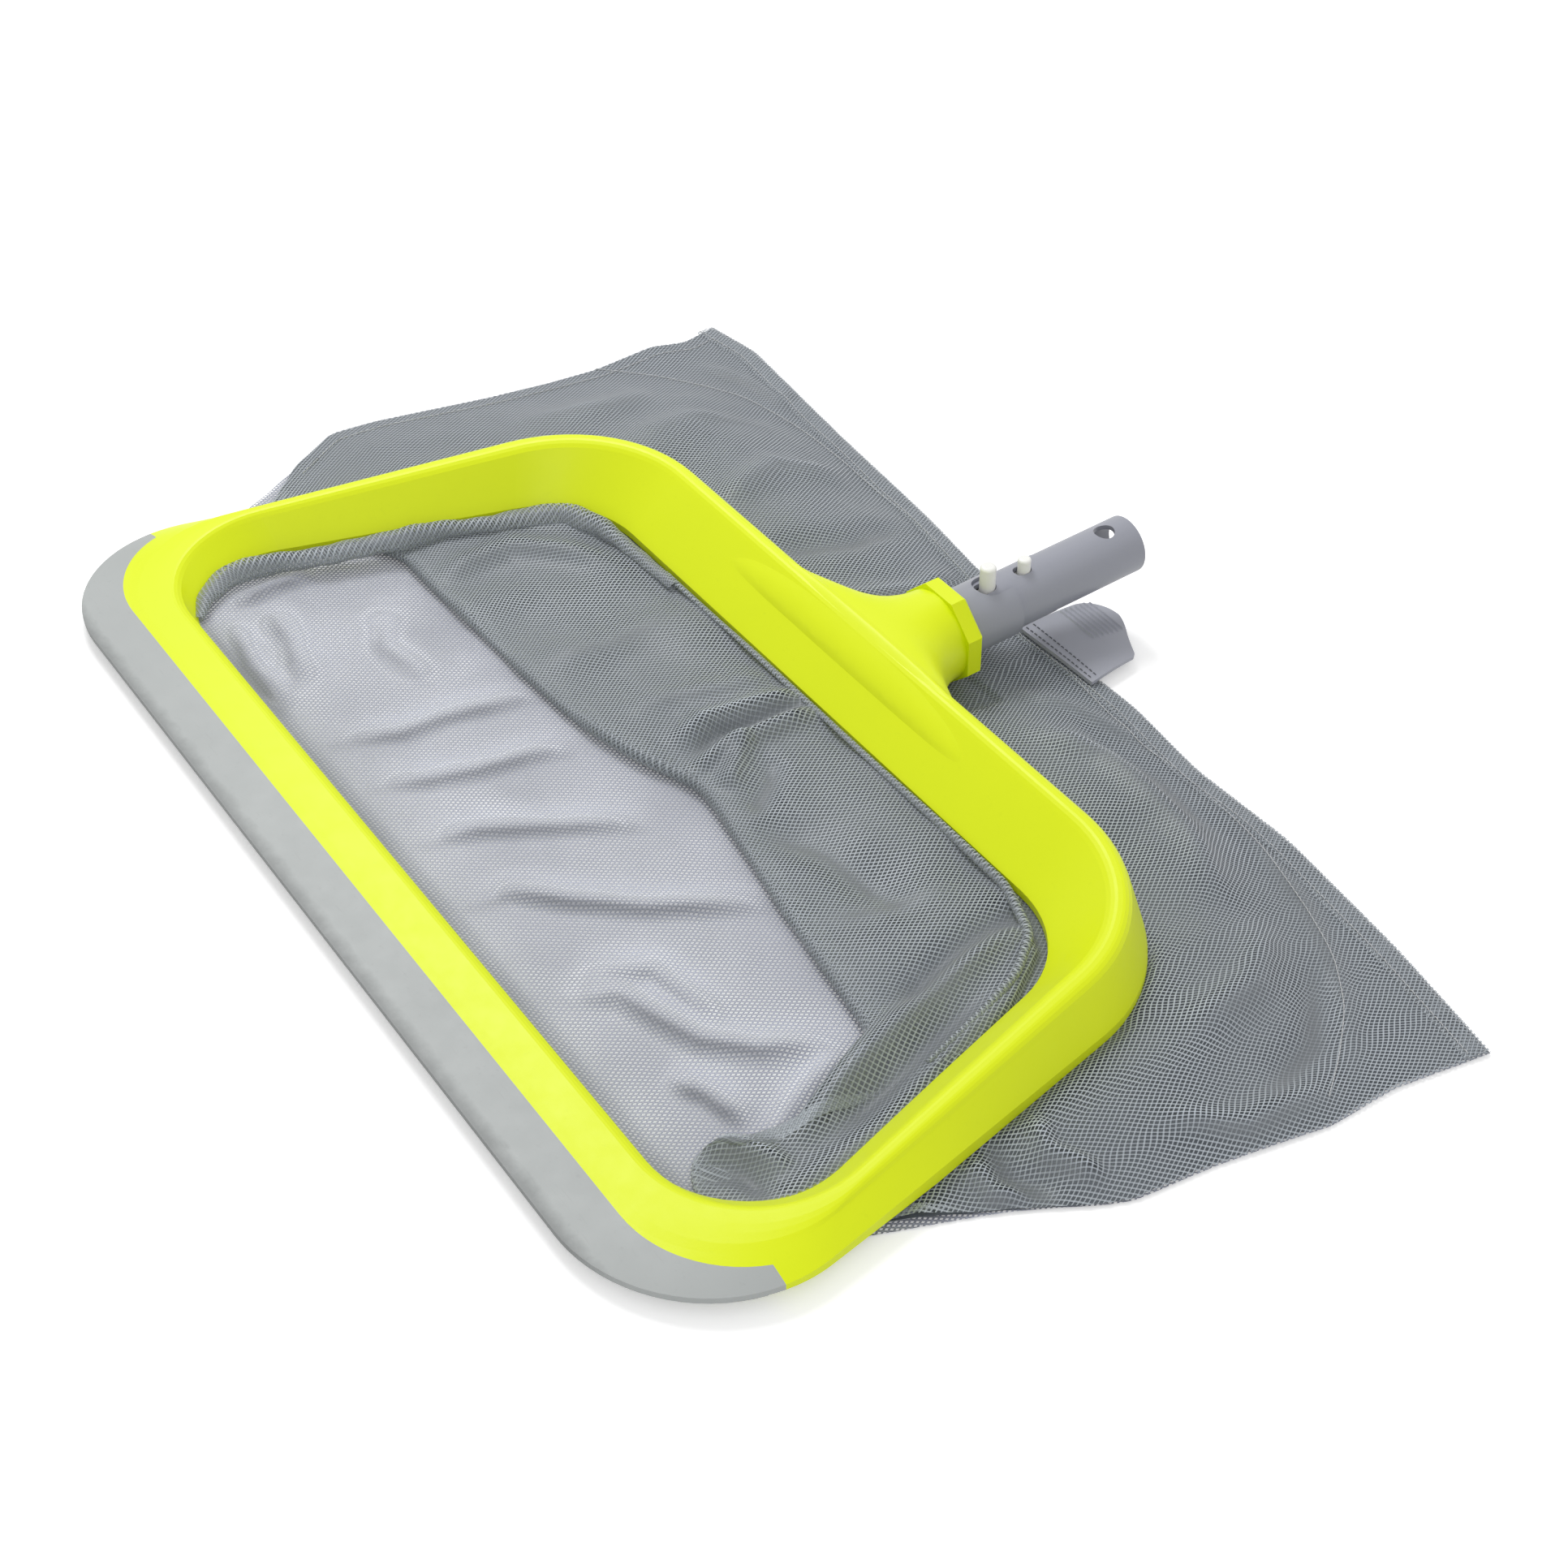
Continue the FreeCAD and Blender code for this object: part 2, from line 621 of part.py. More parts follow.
def main():
    os.makedirs("parts", exist_ok=True)
    hoop_plane = {
        "hoop_frame": hoop_frame(),
        "scraper_lip": scraper_lip(),
        "handle_tube": handle_tube(),
        "handle_screws": handle_screws(),
        "clip_base": clip_base(),
        "clip_arm": clip_arm(),
        "release_button": button(release_y, release_radius, release_stand, 1.5),
        "lock_button": button(lock_y, lock_radius, lock_stand, 1.3),
        "mouth_hem": hem_rod(hem_radius).cut(hem_rod(hem_cord_radius + 0.05)),
        "hem_cord": hem_rod(hem_cord_radius),
    }
    floor = {
        "net_lower_panel": net_lower_panel(),
        "net_upper_panel": net_upper_panel(),
        "pull_tab": pull_tab(),
    }
    nodes = {name: lay(shape) for name, shape in hoop_plane.items()}
    nodes.update({name: on_floor(shape) for name, shape in floor.items()})
    for name, shape in nodes.items():
        shape.exportStep("parts/" + name + ".step")
        b = shape.BoundBox
        print(name, len(shape.Solids), shape.isValid(), "volume", round(shape.Volume),
              "x", round(b.XMin, 1), round(b.XMax, 1), "y", round(b.YMin, 1), round(b.YMax, 1),
              "z", round(b.ZMin, 2), round(b.ZMax, 1))


main()
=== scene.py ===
import math

import bpy
import numpy as np
from mathutils import Matrix, Vector


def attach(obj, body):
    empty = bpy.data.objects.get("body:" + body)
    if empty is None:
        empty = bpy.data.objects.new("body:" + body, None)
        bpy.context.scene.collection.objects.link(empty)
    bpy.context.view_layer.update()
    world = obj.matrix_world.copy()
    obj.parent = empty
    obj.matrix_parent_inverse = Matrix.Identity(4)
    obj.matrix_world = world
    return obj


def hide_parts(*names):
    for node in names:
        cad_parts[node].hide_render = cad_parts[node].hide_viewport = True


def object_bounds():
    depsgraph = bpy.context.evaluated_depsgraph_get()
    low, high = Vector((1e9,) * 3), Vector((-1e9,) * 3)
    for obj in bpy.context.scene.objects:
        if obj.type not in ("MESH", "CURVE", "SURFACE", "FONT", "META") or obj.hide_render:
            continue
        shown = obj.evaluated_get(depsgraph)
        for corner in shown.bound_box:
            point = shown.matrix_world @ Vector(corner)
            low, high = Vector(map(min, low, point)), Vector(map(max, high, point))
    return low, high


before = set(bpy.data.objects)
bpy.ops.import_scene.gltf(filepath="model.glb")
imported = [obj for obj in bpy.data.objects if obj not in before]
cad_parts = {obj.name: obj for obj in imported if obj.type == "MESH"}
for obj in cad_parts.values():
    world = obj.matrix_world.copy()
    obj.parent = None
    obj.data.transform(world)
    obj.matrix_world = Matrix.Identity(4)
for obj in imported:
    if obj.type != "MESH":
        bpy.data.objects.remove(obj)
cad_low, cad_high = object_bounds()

BODY = "skimmer"

# Drawing coordinates, in millimetres: x across, y from the lip to the handle, z from the floor.
y_lip = cad_low.y


def row(x, y, z):
    """Point of the scene, in metres, for a point of the drawing."""
    return Vector((x / 1000.0, y_lip + y / 1000.0, z / 1000.0))


# Materials
def srgb(r, g, b):
    """Screen colour, 0 to 255, as the colour value that a node wants."""
    def lin(c):
        c = c / 255.0
        return c / 12.92 if c <= 0.04045 else ((c + 0.055) / 1.055) ** 2.4
    return (lin(r), lin(g), lin(b), 1.0)


def math_node(tree, op, values, clamp=False):
    """Output of a math node whose inputs are numbers or sockets."""
    n = tree.nodes.new("ShaderNodeMath")
    n.operation = op
    n.use_clamp = clamp
    for socket, v in zip(n.inputs, values):
        if isinstance(v, (int, float)):
            socket.default_value = v
        else:
            tree.links.new(v, socket)
    return n.outputs[0]


class Nodes:
    """Short names for building a node material."""

    def __init__(self, name):
        self.mat = bpy.data.materials.new(name)
        self.mat.use_nodes = True
        self.tree = self.mat.node_tree
        self.shader = self.tree.nodes["Principled BSDF"]

    def node(self, kind, **values):
        n = self.tree.nodes.new(kind)
        for key, value in values.items():
            if key in n.inputs:
                n.inputs[key].default_value = value
            else:
                setattr(n, key, value)
        return n

    def link(self, a, b):
        self.tree.links.new(a, b)

    def math(self, op, a, b=None, clamp=False):
        return math_node(self.tree, op, (a,) if b is None else (a, b), clamp)

    def noise(self, coord, scale, detail=3.0, rough=0.55):
        n = self.node("ShaderNodeTexNoise", Scale=scale, Detail=detail, Roughness=rough)
        self.link(coord, n.inputs["Vector"])
        return n.outputs["Fac"]

    def ramp(self, fac, stops):
        n = self.tree.nodes.new("ShaderNodeValToRGB")
        e = n.color_ramp.elements
        while len(e) < len(stops):
            e.new(0.5)
        for item, (pos, colour) in zip(e, stops):
            item.position = pos
            item.color = colour
        self.link(fac, n.inputs["Fac"])
        return n.outputs["Color"]

    def mix(self, fac, a, b):
        n = self.tree.nodes.new("ShaderNodeMix")
        n.data_type = "RGBA"
        for socket, v in ((n.inputs[0], fac), (n.inputs[6], a), (n.inputs[7], b)):
            if isinstance(v, (int, float, tuple)):
                socket.default_value = v
            else:
                self.link(v, socket)
        return n.outputs[2]

    def bump(self, height, strength, distance):
        n = self.node("ShaderNodeBump", Strength=strength, Distance=distance)
        self.link(height, n.inputs["Height"])
        self.link(n.outputs["Normal"], self.shader.inputs["Normal"])

    def position(self):
        return self.node("ShaderNodeTexCoord").outputs["Object"]


def plastic(name, colour, dark, rough_low, rough_high, grain=900.0, mottling=0.5, scuffs=0.0, specular=0.5):
    """Moulded plastic with a fine grain, uneven tone, small worn spots and long scuffs."""
    m = Nodes(name)
    p = m.position()
    broad = m.noise(p, 14.0)
    fine = m.noise(p, 90.0, 4.0, 0.6)
    tone = m.mix(m.math("MULTIPLY", broad, mottling), colour, dark)
    speck = m.noise(p, 420.0, 2.0)
    worn = m.math("MULTIPLY", m.math("SUBTRACT", speck, 0.62, True), 2.4, True)
    tone = m.mix(m.math("MULTIPLY", worn, 0.5), tone, dark)
    if scuffs > 0:
        stretch = m.node("ShaderNodeMapping")
        stretch.inputs["Scale"].default_value = (60.0, 700.0, 200.0)
        stretch.inputs["Rotation"].default_value = (0.0, 0.0, 0.5)
        m.link(p, stretch.inputs["Vector"])
        streak = m.noise(stretch.outputs[0], 1.0, 2.0)
        mark = m.math("MULTIPLY", m.math("SUBTRACT", streak, 0.66, True), scuffs * 6.0, True)
        tone = m.mix(mark, tone, dark)
    m.link(tone, m.shader.inputs["Base Color"])
    rough = m.math("ADD", m.math("MULTIPLY", fine, rough_high - rough_low), rough_low)
    m.link(rough, m.shader.inputs["Roughness"])
    m.shader.inputs["Specular IOR Level"].default_value = specular
    m.bump(m.noise(p, grain, 2.0), 0.06, 0.0004)
    return m


def steel(name):
    """Brushed steel."""
    m = Nodes(name)
    p = m.position()
    brush = m.node("ShaderNodeMapping")
    brush.inputs["Scale"].default_value = (1500.0, 60.0, 1500.0)
    m.link(p, brush.inputs["Vector"])
    lines = m.noise(brush.outputs[0], 1.0, 2.0)
    tone = m.ramp(lines, [(0.3, (0.42, 0.43, 0.44, 1)), (0.7, (0.68, 0.69, 0.7, 1))])
    m.link(tone, m.shader.inputs["Base Color"])
    m.shader.inputs["Metallic"].default_value = 1.0
    m.link(m.math("ADD", m.math("MULTIPLY", lines, 0.2), 0.25), m.shader.inputs["Roughness"])
    return m.mat


def woven(name, light, dark, pitch=0.0009):
    """Tape or cord, with a fine weave in the object's own coordinates."""
    m = Nodes(name)
    p = m.position()
    sep = m.node("ShaderNodeSeparateXYZ")
    m.link(p, sep.inputs[0])
    waves = []
    for op in ("ADD", "SUBTRACT"):
        slanted = m.math(op, sep.outputs[0], sep.outputs[1])
        waves.append(m.math("SINE", m.math("MULTIPLY", slanted, 2 * math.pi / pitch)))
    w = m.math("ADD", m.math("MULTIPLY", m.math("MULTIPLY", waves[0], waves[1]), 0.5), 0.5)
    m.link(m.mix(w, dark, light), m.shader.inputs["Base Color"])
    m.shader.inputs["Roughness"].default_value = 0.75
    m.bump(w, 0.35, 0.0003)
    return m.mat


def mesh_fabric(name, thread, deep, cell=0.00205, width=0.155, gloss=0.45):
    """Fine knitted net: two slanted sets of threads with open diamonds between them.
    The mesh's own value "fold" gives painted shade and a more closed net where it is below zero, and
    painted highlight where it is above zero."""
    slant = 0.62
    soft_edge = 0.035
    closing = -0.75
    m = Nodes(name)
    uv = m.node("ShaderNodeUVMap", uv_map="flat").outputs[0]
    sep = m.node("ShaderNodeSeparateXYZ")
    m.link(uv, sep.inputs[0])
    wobble = m.math("MULTIPLY", m.math("SUBTRACT", m.noise(uv, 26.0, 2.0), 0.5), 0.0016)
    x = m.math("ADD", sep.outputs[0], wobble)
    y = m.math("MULTIPLY", sep.outputs[1], slant)
    strands = []
    for u in (m.math("ADD", x, y), m.math("SUBTRACT", x, y)):
        f = m.math("FRACT", m.math("DIVIDE", m.math("ADD", u, 5.0), cell))
        d = m.math("ABSOLUTE", m.math("SUBTRACT", f, 0.5))
        edge = m.node("ShaderNodeMapRange", clamp=True)
        m.link(m.math("SUBTRACT", 0.5, d), edge.inputs["Value"])
        edge.inputs["From Min"].default_value = width + soft_edge
        edge.inputs["From Max"].default_value = width - soft_edge
        strands.append(edge.outputs[0])
    net = m.math("MAXIMUM", strands[0], strands[1])
    knot = m.math("MULTIPLY", strands[0], strands[1])
    fold = m.node("ShaderNodeAttribute", attribute_name="fold").outputs["Fac"]
    closed = m.math("MULTIPLY", m.math("MULTIPLY", fold, closing, True), m.math("SUBTRACT", 1.0, net))
    m.link(m.math("ADD", net, closed, True), m.shader.inputs["Alpha"])
    patch = m.noise(uv, 9.0, 3.0)
    tone = m.mix(m.math("MULTIPLY", patch, 0.5), thread, deep)
    # Painted highlight: the knots where the threads cross are made paler.
    painted_highlight = tuple(min(1.0, 1.5 * c) for c in thread[:3]) + (1.0,)
    tone = m.mix(m.math("MULTIPLY", knot, 0.5), tone, painted_highlight)
    # Painted shade (fold below zero) and painted highlight (fold above zero) on the thread colour.
    value = m.node("ShaderNodeHueSaturation")
    m.link(m.math("ADD", m.math("MULTIPLY", fold, 0.5), 1.0), value.inputs["Value"])
    m.link(tone, value.inputs["Color"])
    m.link(value.outputs[0], m.shader.inputs["Base Color"])
    m.shader.inputs["Roughness"].default_value = gloss
    m.shader.inputs["Sheen Weight"].default_value = 0.25
    m.bump(m.math("ADD", net, m.math("MULTIPLY", knot, 0.6)), 0.5, 0.0003)
    return m.mat


lime = plastic("lime_plastic", srgb(222, 236, 6), srgb(204, 221, 4), 0.34, 0.5,
               mottling=0.35, scuffs=0.06, specular=0.32)
lip_mat = plastic("lip_plastic", srgb(172, 176, 175), srgb(140, 143, 142), 0.42, 0.62,
                  mottling=0.5, scuffs=0.35)
tube_mat = plastic("tube_plastic", srgb(148, 150, 160), srgb(134, 136, 146), 0.30, 0.42, mottling=0.4)
button_mat = plastic("button_plastic", srgb(240, 240, 236), srgb(226, 226, 220), 0.28, 0.4, mottling=0.3)
tab_mat = plastic("tab_vinyl", srgb(160, 162, 172), srgb(148, 150, 160), 0.4, 0.55,
                  grain=1500.0, mottling=0.4)

# Plan of the lip, in metres: half width where its corner round starts, the round's radius,
# and the distances from the round's centre line between which the wear sets in
LIP_STRAIGHT_HALF = 0.2095
LIP_RADIUS = 0.062
WORN_FROM = 0.0560
WORN_TO = 0.0612


def lip_wear(m):
    """Darker rubbed band and small chips along the outer edge of the lip."""
    p = m.position()
    sep = m.node("ShaderNodeSeparateXYZ")
    m.link(p, sep.inputs[0])
    x = m.math("MAXIMUM", m.math("SUBTRACT", m.math("ABSOLUTE", sep.outputs[0]), LIP_STRAIGHT_HALF), 0.0)
    y = m.math("MAXIMUM", m.math("SUBTRACT", y_lip + LIP_RADIUS, sep.outputs[1]), 0.0)
    radius = m.math("SQRT", m.math("ADD", m.math("MULTIPLY", x, x), m.math("MULTIPLY", y, y)))
    ragged = m.math("MULTIPLY", m.math("SUBTRACT", m.noise(p, 120.0, 5.0, 0.7), 0.5), 0.006)
    edge = m.node("ShaderNodeMapRange", clamp=True)
    m.link(m.math("ADD", radius, ragged), edge.inputs["Value"])
    edge.inputs["From Min"].default_value = WORN_FROM
    edge.inputs["From Max"].default_value = WORN_TO
    before = m.shader.inputs["Base Color"].links[0].from_socket
    tone = m.mix(m.math("MULTIPLY", edge.outputs[0], 0.55), before, srgb(92, 94, 94))
    m.link(tone, m.shader.inputs["Base Color"])


lip_wear(lip_mat)

net_mat = mesh_fabric("net_mesh", srgb(162, 169, 176), srgb(118, 126, 134))
net_light = mesh_fabric("net_mesh_single", srgb(150, 154, 168), srgb(134, 139, 151), width=0.2)
# Painted shade: a dark, nearly closed copy of the net for the ply between the other two.
net_painted_shade = mesh_fabric("net_mesh_painted_shade", srgb(70, 76, 83), srgb(58, 64, 71), width=0.62)
hem_mat = woven("hem_tape", srgb(110, 116, 120), srgb(70, 75, 79))
cord_mat = woven("hem_cord", srgb(170, 170, 165), srgb(130, 130, 126))
steel_mat = steel("clip_steel")
thread_mat = woven("seam_thread", srgb(208, 210, 212), srgb(170, 172, 176), 0.0006)

looks = {
    "hoop_frame": lime.mat, "scraper_lip": lip_mat.mat, "handle_tube": tube_mat.mat,
    "handle_screws": steel_mat, "clip_base": steel_mat, "clip_arm": steel_mat,
    "release_button": button_mat.mat, "lock_button": button_mat.mat, "mouth_hem": hem_mat,
    "hem_cord": cord_mat, "net_lower_panel": net_light, "net_upper_panel": net_mat,
    "pull_tab": tab_mat.mat,
}
for name, look in looks.items():
    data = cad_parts[name].data
    data.materials.clear()
    data.materials.append(look)


# Curves and height fields
def lengths_along(p):
    """Length run at each point of a line, from 0 at its first point."""
    return np.r_[0, np.cumsum(np.linalg.norm(np.diff(p, axis=0), axis=1))]


def along(points, n):
    """n points at even steps along a polyline, with its corners smoothed a little."""
    p = np.array(points, float)
    d = lengths_along(p)
    t = np.linspace(0, d[-1], n)
    q = np.stack([np.interp(t, d, p[:, i]) for i in range(p.shape[1])], 1)
    k = max(1, n // 60)
    for _ in range(2 * k):
        q[1:-1] = 0.5 * q[1:-1] + 0.25 * (q[:-2] + q[2:])
    return q


def plate(points, where):
    """Thin-plate surface through scattered heights: points (x, y, z), wanted at where (n, 2)."""
    def phi(r2):
        return np.where(r2 > 0, r2 * np.log(r2 + 1e-12), 0.0)

    p = np.array(points, float)
    n = len(p)
    r2 = ((p[:, None, :2] - p[None, :, :2]) ** 2).sum(-1) / 1e4
    a = np.zeros((n + 3, n + 3))
    a[:n, :n] = phi(r2) + 1e-4 * np.eye(n)
    a[:n, n] = 1
    a[:n, n + 1:] = p[:, :2] / 100
    a[n:, :n] = a[:n, n:].T
    w = np.linalg.solve(a, np.r_[p[:, 2], 0, 0, 0])
    r2 = ((where[:, None, :2] - p[None, :, :2]) ** 2).sum(-1) / 1e4
    return phi(r2) @ w[:n] + w[n] + where[:, :2] @ w[n + 1:] / 100


def line_distance(where, line):
    """Distance to a polyline, and how far along it (0 to 1) the nearest point lies."""
    p = np.array(line, float)
    best = np.full(len(where), 1e9)
    place = np.zeros(len(where))
    lengths = np.linalg.norm(np.diff(p, axis=0), axis=1)
    total = lengths.sum()
    run = 0.0
    for a, b, length in zip(p[:-1], p[1:], lengths):
        t = np.clip(((where - a) @ (b - a)) / (length * length), 0, 1)
        d = np.linalg.norm(where - (a + t[:, None] * (b - a)), axis=1)
        near = d < best
        best = np.where(near, d, best)
        place = np.where(near, (run + t * length) / total, place)
        run += length
    return best, place


def crease(where, line, height, width, taper=0.25):
    """Soft ridge (or, with a negative height, valley) along a line, fading out at its ends."""
    d, s = line_distance(where, line)
    fade = np.clip(np.minimum(s, 1 - s) / taper, 0, 1)
    fade = fade * fade * (3 - 2 * fade)
    return height * fade * np.exp(-(d / width) ** 2)


def soft_noise(where, scale, amount, seed):
    """Smooth rolling noise from a few waves."""
    g = np.random.default_rng(seed)
    z = np.zeros(len(where))
    for _ in range(9):
        a = g.uniform(0, 2 * math.pi)
        k = 2 * math.pi / (scale * g.uniform(0.6, 1.6))
        z += np.sin(where @ np.array([math.cos(a), math.sin(a)]) * k + g.uniform(0, 6.28))
    return amount * z / 3.0


def inside(where, polygon):
    """Which points lie inside a polygon."""
    p = np.array(polygon, float)
    r = np.zeros(len(where), bool)
    for a, b in zip(p, np.roll(p, -1, axis=0)):
        cross = (a[1] > where[:, 1]) != (b[1] > where[:, 1])
        x = (b[0] - a[0]) * (where[:, 1] - a[1]) / (b[1] - a[1] + 1e-12) + a[0]
        r ^= cross & (where[:, 0] < x)
    return r


def step(v, low, high):
    """Smooth step from 0 at low to 1 at high."""
    t = np.clip((v - low) / (high - low), 0, 1)
    return t * t * (3 - 2 * t)


def neighbours(z):
    """Sum of the four points round each inner point of a grid."""
    return z[:-2, 1:-1] + z[2:, 1:-1] + z[1:-1, :-2] + z[1:-1, 2:]


def bend_of(z, gain):
    """How far each grid point stands above (+) or below (-) its surroundings, for the fabric's painted
    highlight on ridges and painted shade in hollows.
    """
    blur = z.copy()
    for _ in range(14):
        blur[1:-1, 1:-1] = 0.25 * neighbours(blur)
    return np.clip((z - blur) * gain, -1, 1)


def painted_light_lines(where, lines, shift):
    """Painted shade (below zero) and painted highlight (above zero) along soft lines on the cloth, moved a
    little to one side.
    """
    total = np.zeros(len(where))
    for line, amount, width in lines:
        d, run = line_distance(where - np.array(shift), line)
        fade = np.clip(np.minimum(run, 1 - run) / 0.3, 0, 1)
        total += amount * fade * np.exp(-(d / width) ** 2)
    return total


def grid_object(name, xyz, uv, mat, fold=None):
    """Mesh from a grid of points (rows, columns, 3) in drawing millimetres, riding on the skimmer.
    Its uv is the place of each point on the flat cloth."""
    rows, cols = xyz.shape[:2]
    verts = [row(*p) for p in xyz.reshape(-1, 3)]
    faces = [(i * cols + j, i * cols + j + 1, (i + 1) * cols + j + 1, (i + 1) * cols + j)
             for i in range(rows - 1) for j in range(cols - 1)]
    data = bpy.data.meshes.new(name)
    data.from_pydata(verts, [], faces)
    layer = data.uv_layers.new(name="flat")
    index = np.zeros(len(data.loops), int)
    data.loops.foreach_get("vertex_index", index)
    layer.data.foreach_set("uv", (uv.reshape(-1, 2)[index] / 1000.0).ravel())
    data.polygons.foreach_set("use_smooth", np.ones(len(data.polygons), bool))
    # fold: the painted shade and painted highlight values for the net material.
    if fold is not None:
        tones = data.attributes.new("fold", "FLOAT", "POINT")
        tones.data.foreach_set("value", fold.ravel().astype(np.float32))
    data.materials.append(mat)
    obj = bpy.data.objects.new(name, data)
    bpy.context.scene.collection.objects.link(obj)
    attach(obj, BODY)
    return obj


def coons(front, back, left, right, rows, cols):
    """Grid of points that fills the plan between four edge lines."""
    f, b = along(front, cols), along(back, cols)
    w, e = along(left, rows), along(right, rows)
    s = np.linspace(0, 1, cols)[None, :, None]
    t = np.linspace(0, 1, rows)[:, None, None]
    return ((1 - t) * f[None] + t * b[None] + (1 - s) * w[:, None] + s * e[:, None]
            - ((1 - s) * (1 - t) * f[0] + s * (1 - t) * f[-1] + (1 - s) * t * b[0] + s * t * b[-1]))


# Hoop heights over the floor, at distance y from the lip
def mouth_edge_z(y):
    """Edge of the mouth that the net hangs from."""
    return 0.9 + 0.0645 * y


def under_z(y):
    """Underside of the hoop's bars."""
    return -0.8 + 0.0560 * y


# Clearances of the net, and the room under the neck
EDGE_GAP = 1.2
BAR_GAP = 1.0
NECK_HALF = 34
NECK_FROM = 292
NECK_TO = 334
NECK_CEILING = 3.4

# Outlines of the hoop in plan: its mouth and its outer edge
mouth = [(-197, 46), (197, 46), (221, 55), (234, 74), (232, 95), (194, 206), (176, 234), (148, 248),
         (-148, 248), (-176, 234), (-194, 206), (-232, 95), (-234, 74), (-221, 55)]
outer = [(-262, 50), (262, 50), (261, 60), (224, 235), (198, 276), (150, 293), (62, 292), (32, 300),
         (24, 330), (-24, 330), (-32, 300), (-62, 292), (-150, 293), (-198, 276), (-224, 235), (-261, 60)]

# Outlines of the net in plan, from places picked in the photograph, and guessed where bars hide it
bag_left = [(-266, 120), (-292, 145), (-312, 175), (-313, 200), (-308, 263), (-307, 300), (-308, 330),
            (-316, 371), (-312, 390), (-319, 414)]
bag_right = [(248, 117), (262, 140), (281, 177), (286, 191), (289, 228), (297, 280), (296, 317), (302, 365)]
bag_end = [(-319, 414), (-286, 420), (-240, 415), (-194, 410), (-120, 404), (-57, 396), (-7, 387),
           (63, 390), (111, 384), (167, 386), (239, 377), (302, 365)]
lower_front = [(-262, 118), (-250, 90), (-241, 66), (-216, 48), (-190, 43), (190, 43), (216, 48),
               (241, 66), (245, 90), (247, 116)]
fold_edge = [(-203, 149), (-193, 154), (-165, 154), (-130, 156), (-92, 157), (-59, 159), (-33, 163),
             (-10, 170), (4, 177), (18, 182), (33, 180), (62, 175), (93, 169), (127, 164), (153, 160),
             (172, 157), (184, 130), (194, 107), (201, 92), (197, 81), (190, 76), (186, 68), (192, 60)]
upper_front = ([(-266, 121), (-240, 134), (-215, 142)] + fold_edge
               + [(210, 52), (230, 66), (242, 90), (248, 118)])
seam = [(-308, 330), (-286, 355), (-247, 385), (-210, 393), (-135, 393), (-69, 391), (0, 381), (81, 372),
        (119, 375), (165, 370), (203, 359), (232, 347), (255, 330), (273, 309), (288, 287)]

# Folds of the lower panel: line, height and width
wrinkles = [
    ([(-90, 56), (-79, 90), (-81, 112), (-78, 133), (-74, 160)], 2.6, 6.0),
    ([(-56, 58), (-46, 83), (-41, 106), (-40, 132), (-34, 152)], 2.8, 6.0),
    ([(-14, 58), (-7, 87), (8, 119), (24, 153)], 2.6, 6.0),
    ([(29, 56), (32, 79), (47, 95), (67, 121), (82, 150), (92, 171)], 3.6, 6.0),
    ([(91, 62), (104, 85), (122, 91), (140, 98), (156, 115), (170, 150)], 4.0, 7.0),
    ([(-193, 63), (-151, 54), (-111, 55)], 3.0, 6.0),
    ([(-197, 65), (-203, 90), (-204, 114)], 3.6, 5.0),
    ([(-189, 80), (-162, 78), (-128, 66)], 3.6, 7.0),
    ([(-170, 130), (-140, 112), (-104, 118)], 2.0, 9.0),
    ([(84, 73), (98, 104), (126, 110), (138, 113)], 2.4, 5.0),
    ([(149, 76), (164, 85), (185, 90)], 3.0, 5.0),
    ([(170, 150), (182, 116), (196, 92)], 2.4, 5.0),
]


def lower_sheet():
    """Single net on the floor, drawn up to the hem at the front. Returns it and its plan."""
    plan = coons(lower_front, bag_end, bag_left, bag_right, rows=190, cols=300)
    pts = plan.reshape(-1, 2)
    z = 1.1 + soft_noise(pts, 70, 0.35, 1) + soft_noise(pts, 26, 0.16, 2)
    for line, height, width in wrinkles:
        z += crease(pts, line, height, width)
    edge_d, _ = line_distance(pts, mouth + mouth[:1])
    hem_z = mouth_edge_z(pts[:, 1]) - BAR_GAP
    near_front = step(pts[:, 1], 150, 120)
    drawn_up = np.maximum(z, 1.0 + (hem_z - 1.0) * step(edge_d, 10, 0) * near_front)
    z = np.where(inside(pts, mouth), drawn_up, np.minimum(z, 1.4))
    z = np.clip(z, 0.5, 12).reshape(plan.shape[:2])
    # Painted shade on one side of each wrinkle, painted highlight on the other, and painted shade along the
    # hoop's edge, as the net's fold value.
    dark = [(line, -0.85 if height > 2.5 else -0.55, 3.4) for line, height, width in wrinkles]
    painted_highlight = [(line, 0.55, 7.5) for line, height, width in wrinkles]
    tone = -0.10 + painted_light_lines(pts, dark, (2.6, -2.2))
    tone += painted_light_lines(pts, painted_highlight, (-7.0, 5.5))
    tone += soft_noise(pts, 70, 0.11, 11) - 0.55 * np.exp(-(edge_d / 7.0) ** 2)
    obj = grid_object("net_lower", np.dstack([plan, z]), plan, net_light,
                      np.clip(tone, -1, 1).reshape(z.shape))
    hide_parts("net_lower_panel")
    return obj, plan


lower, lower_flat = lower_sheet()

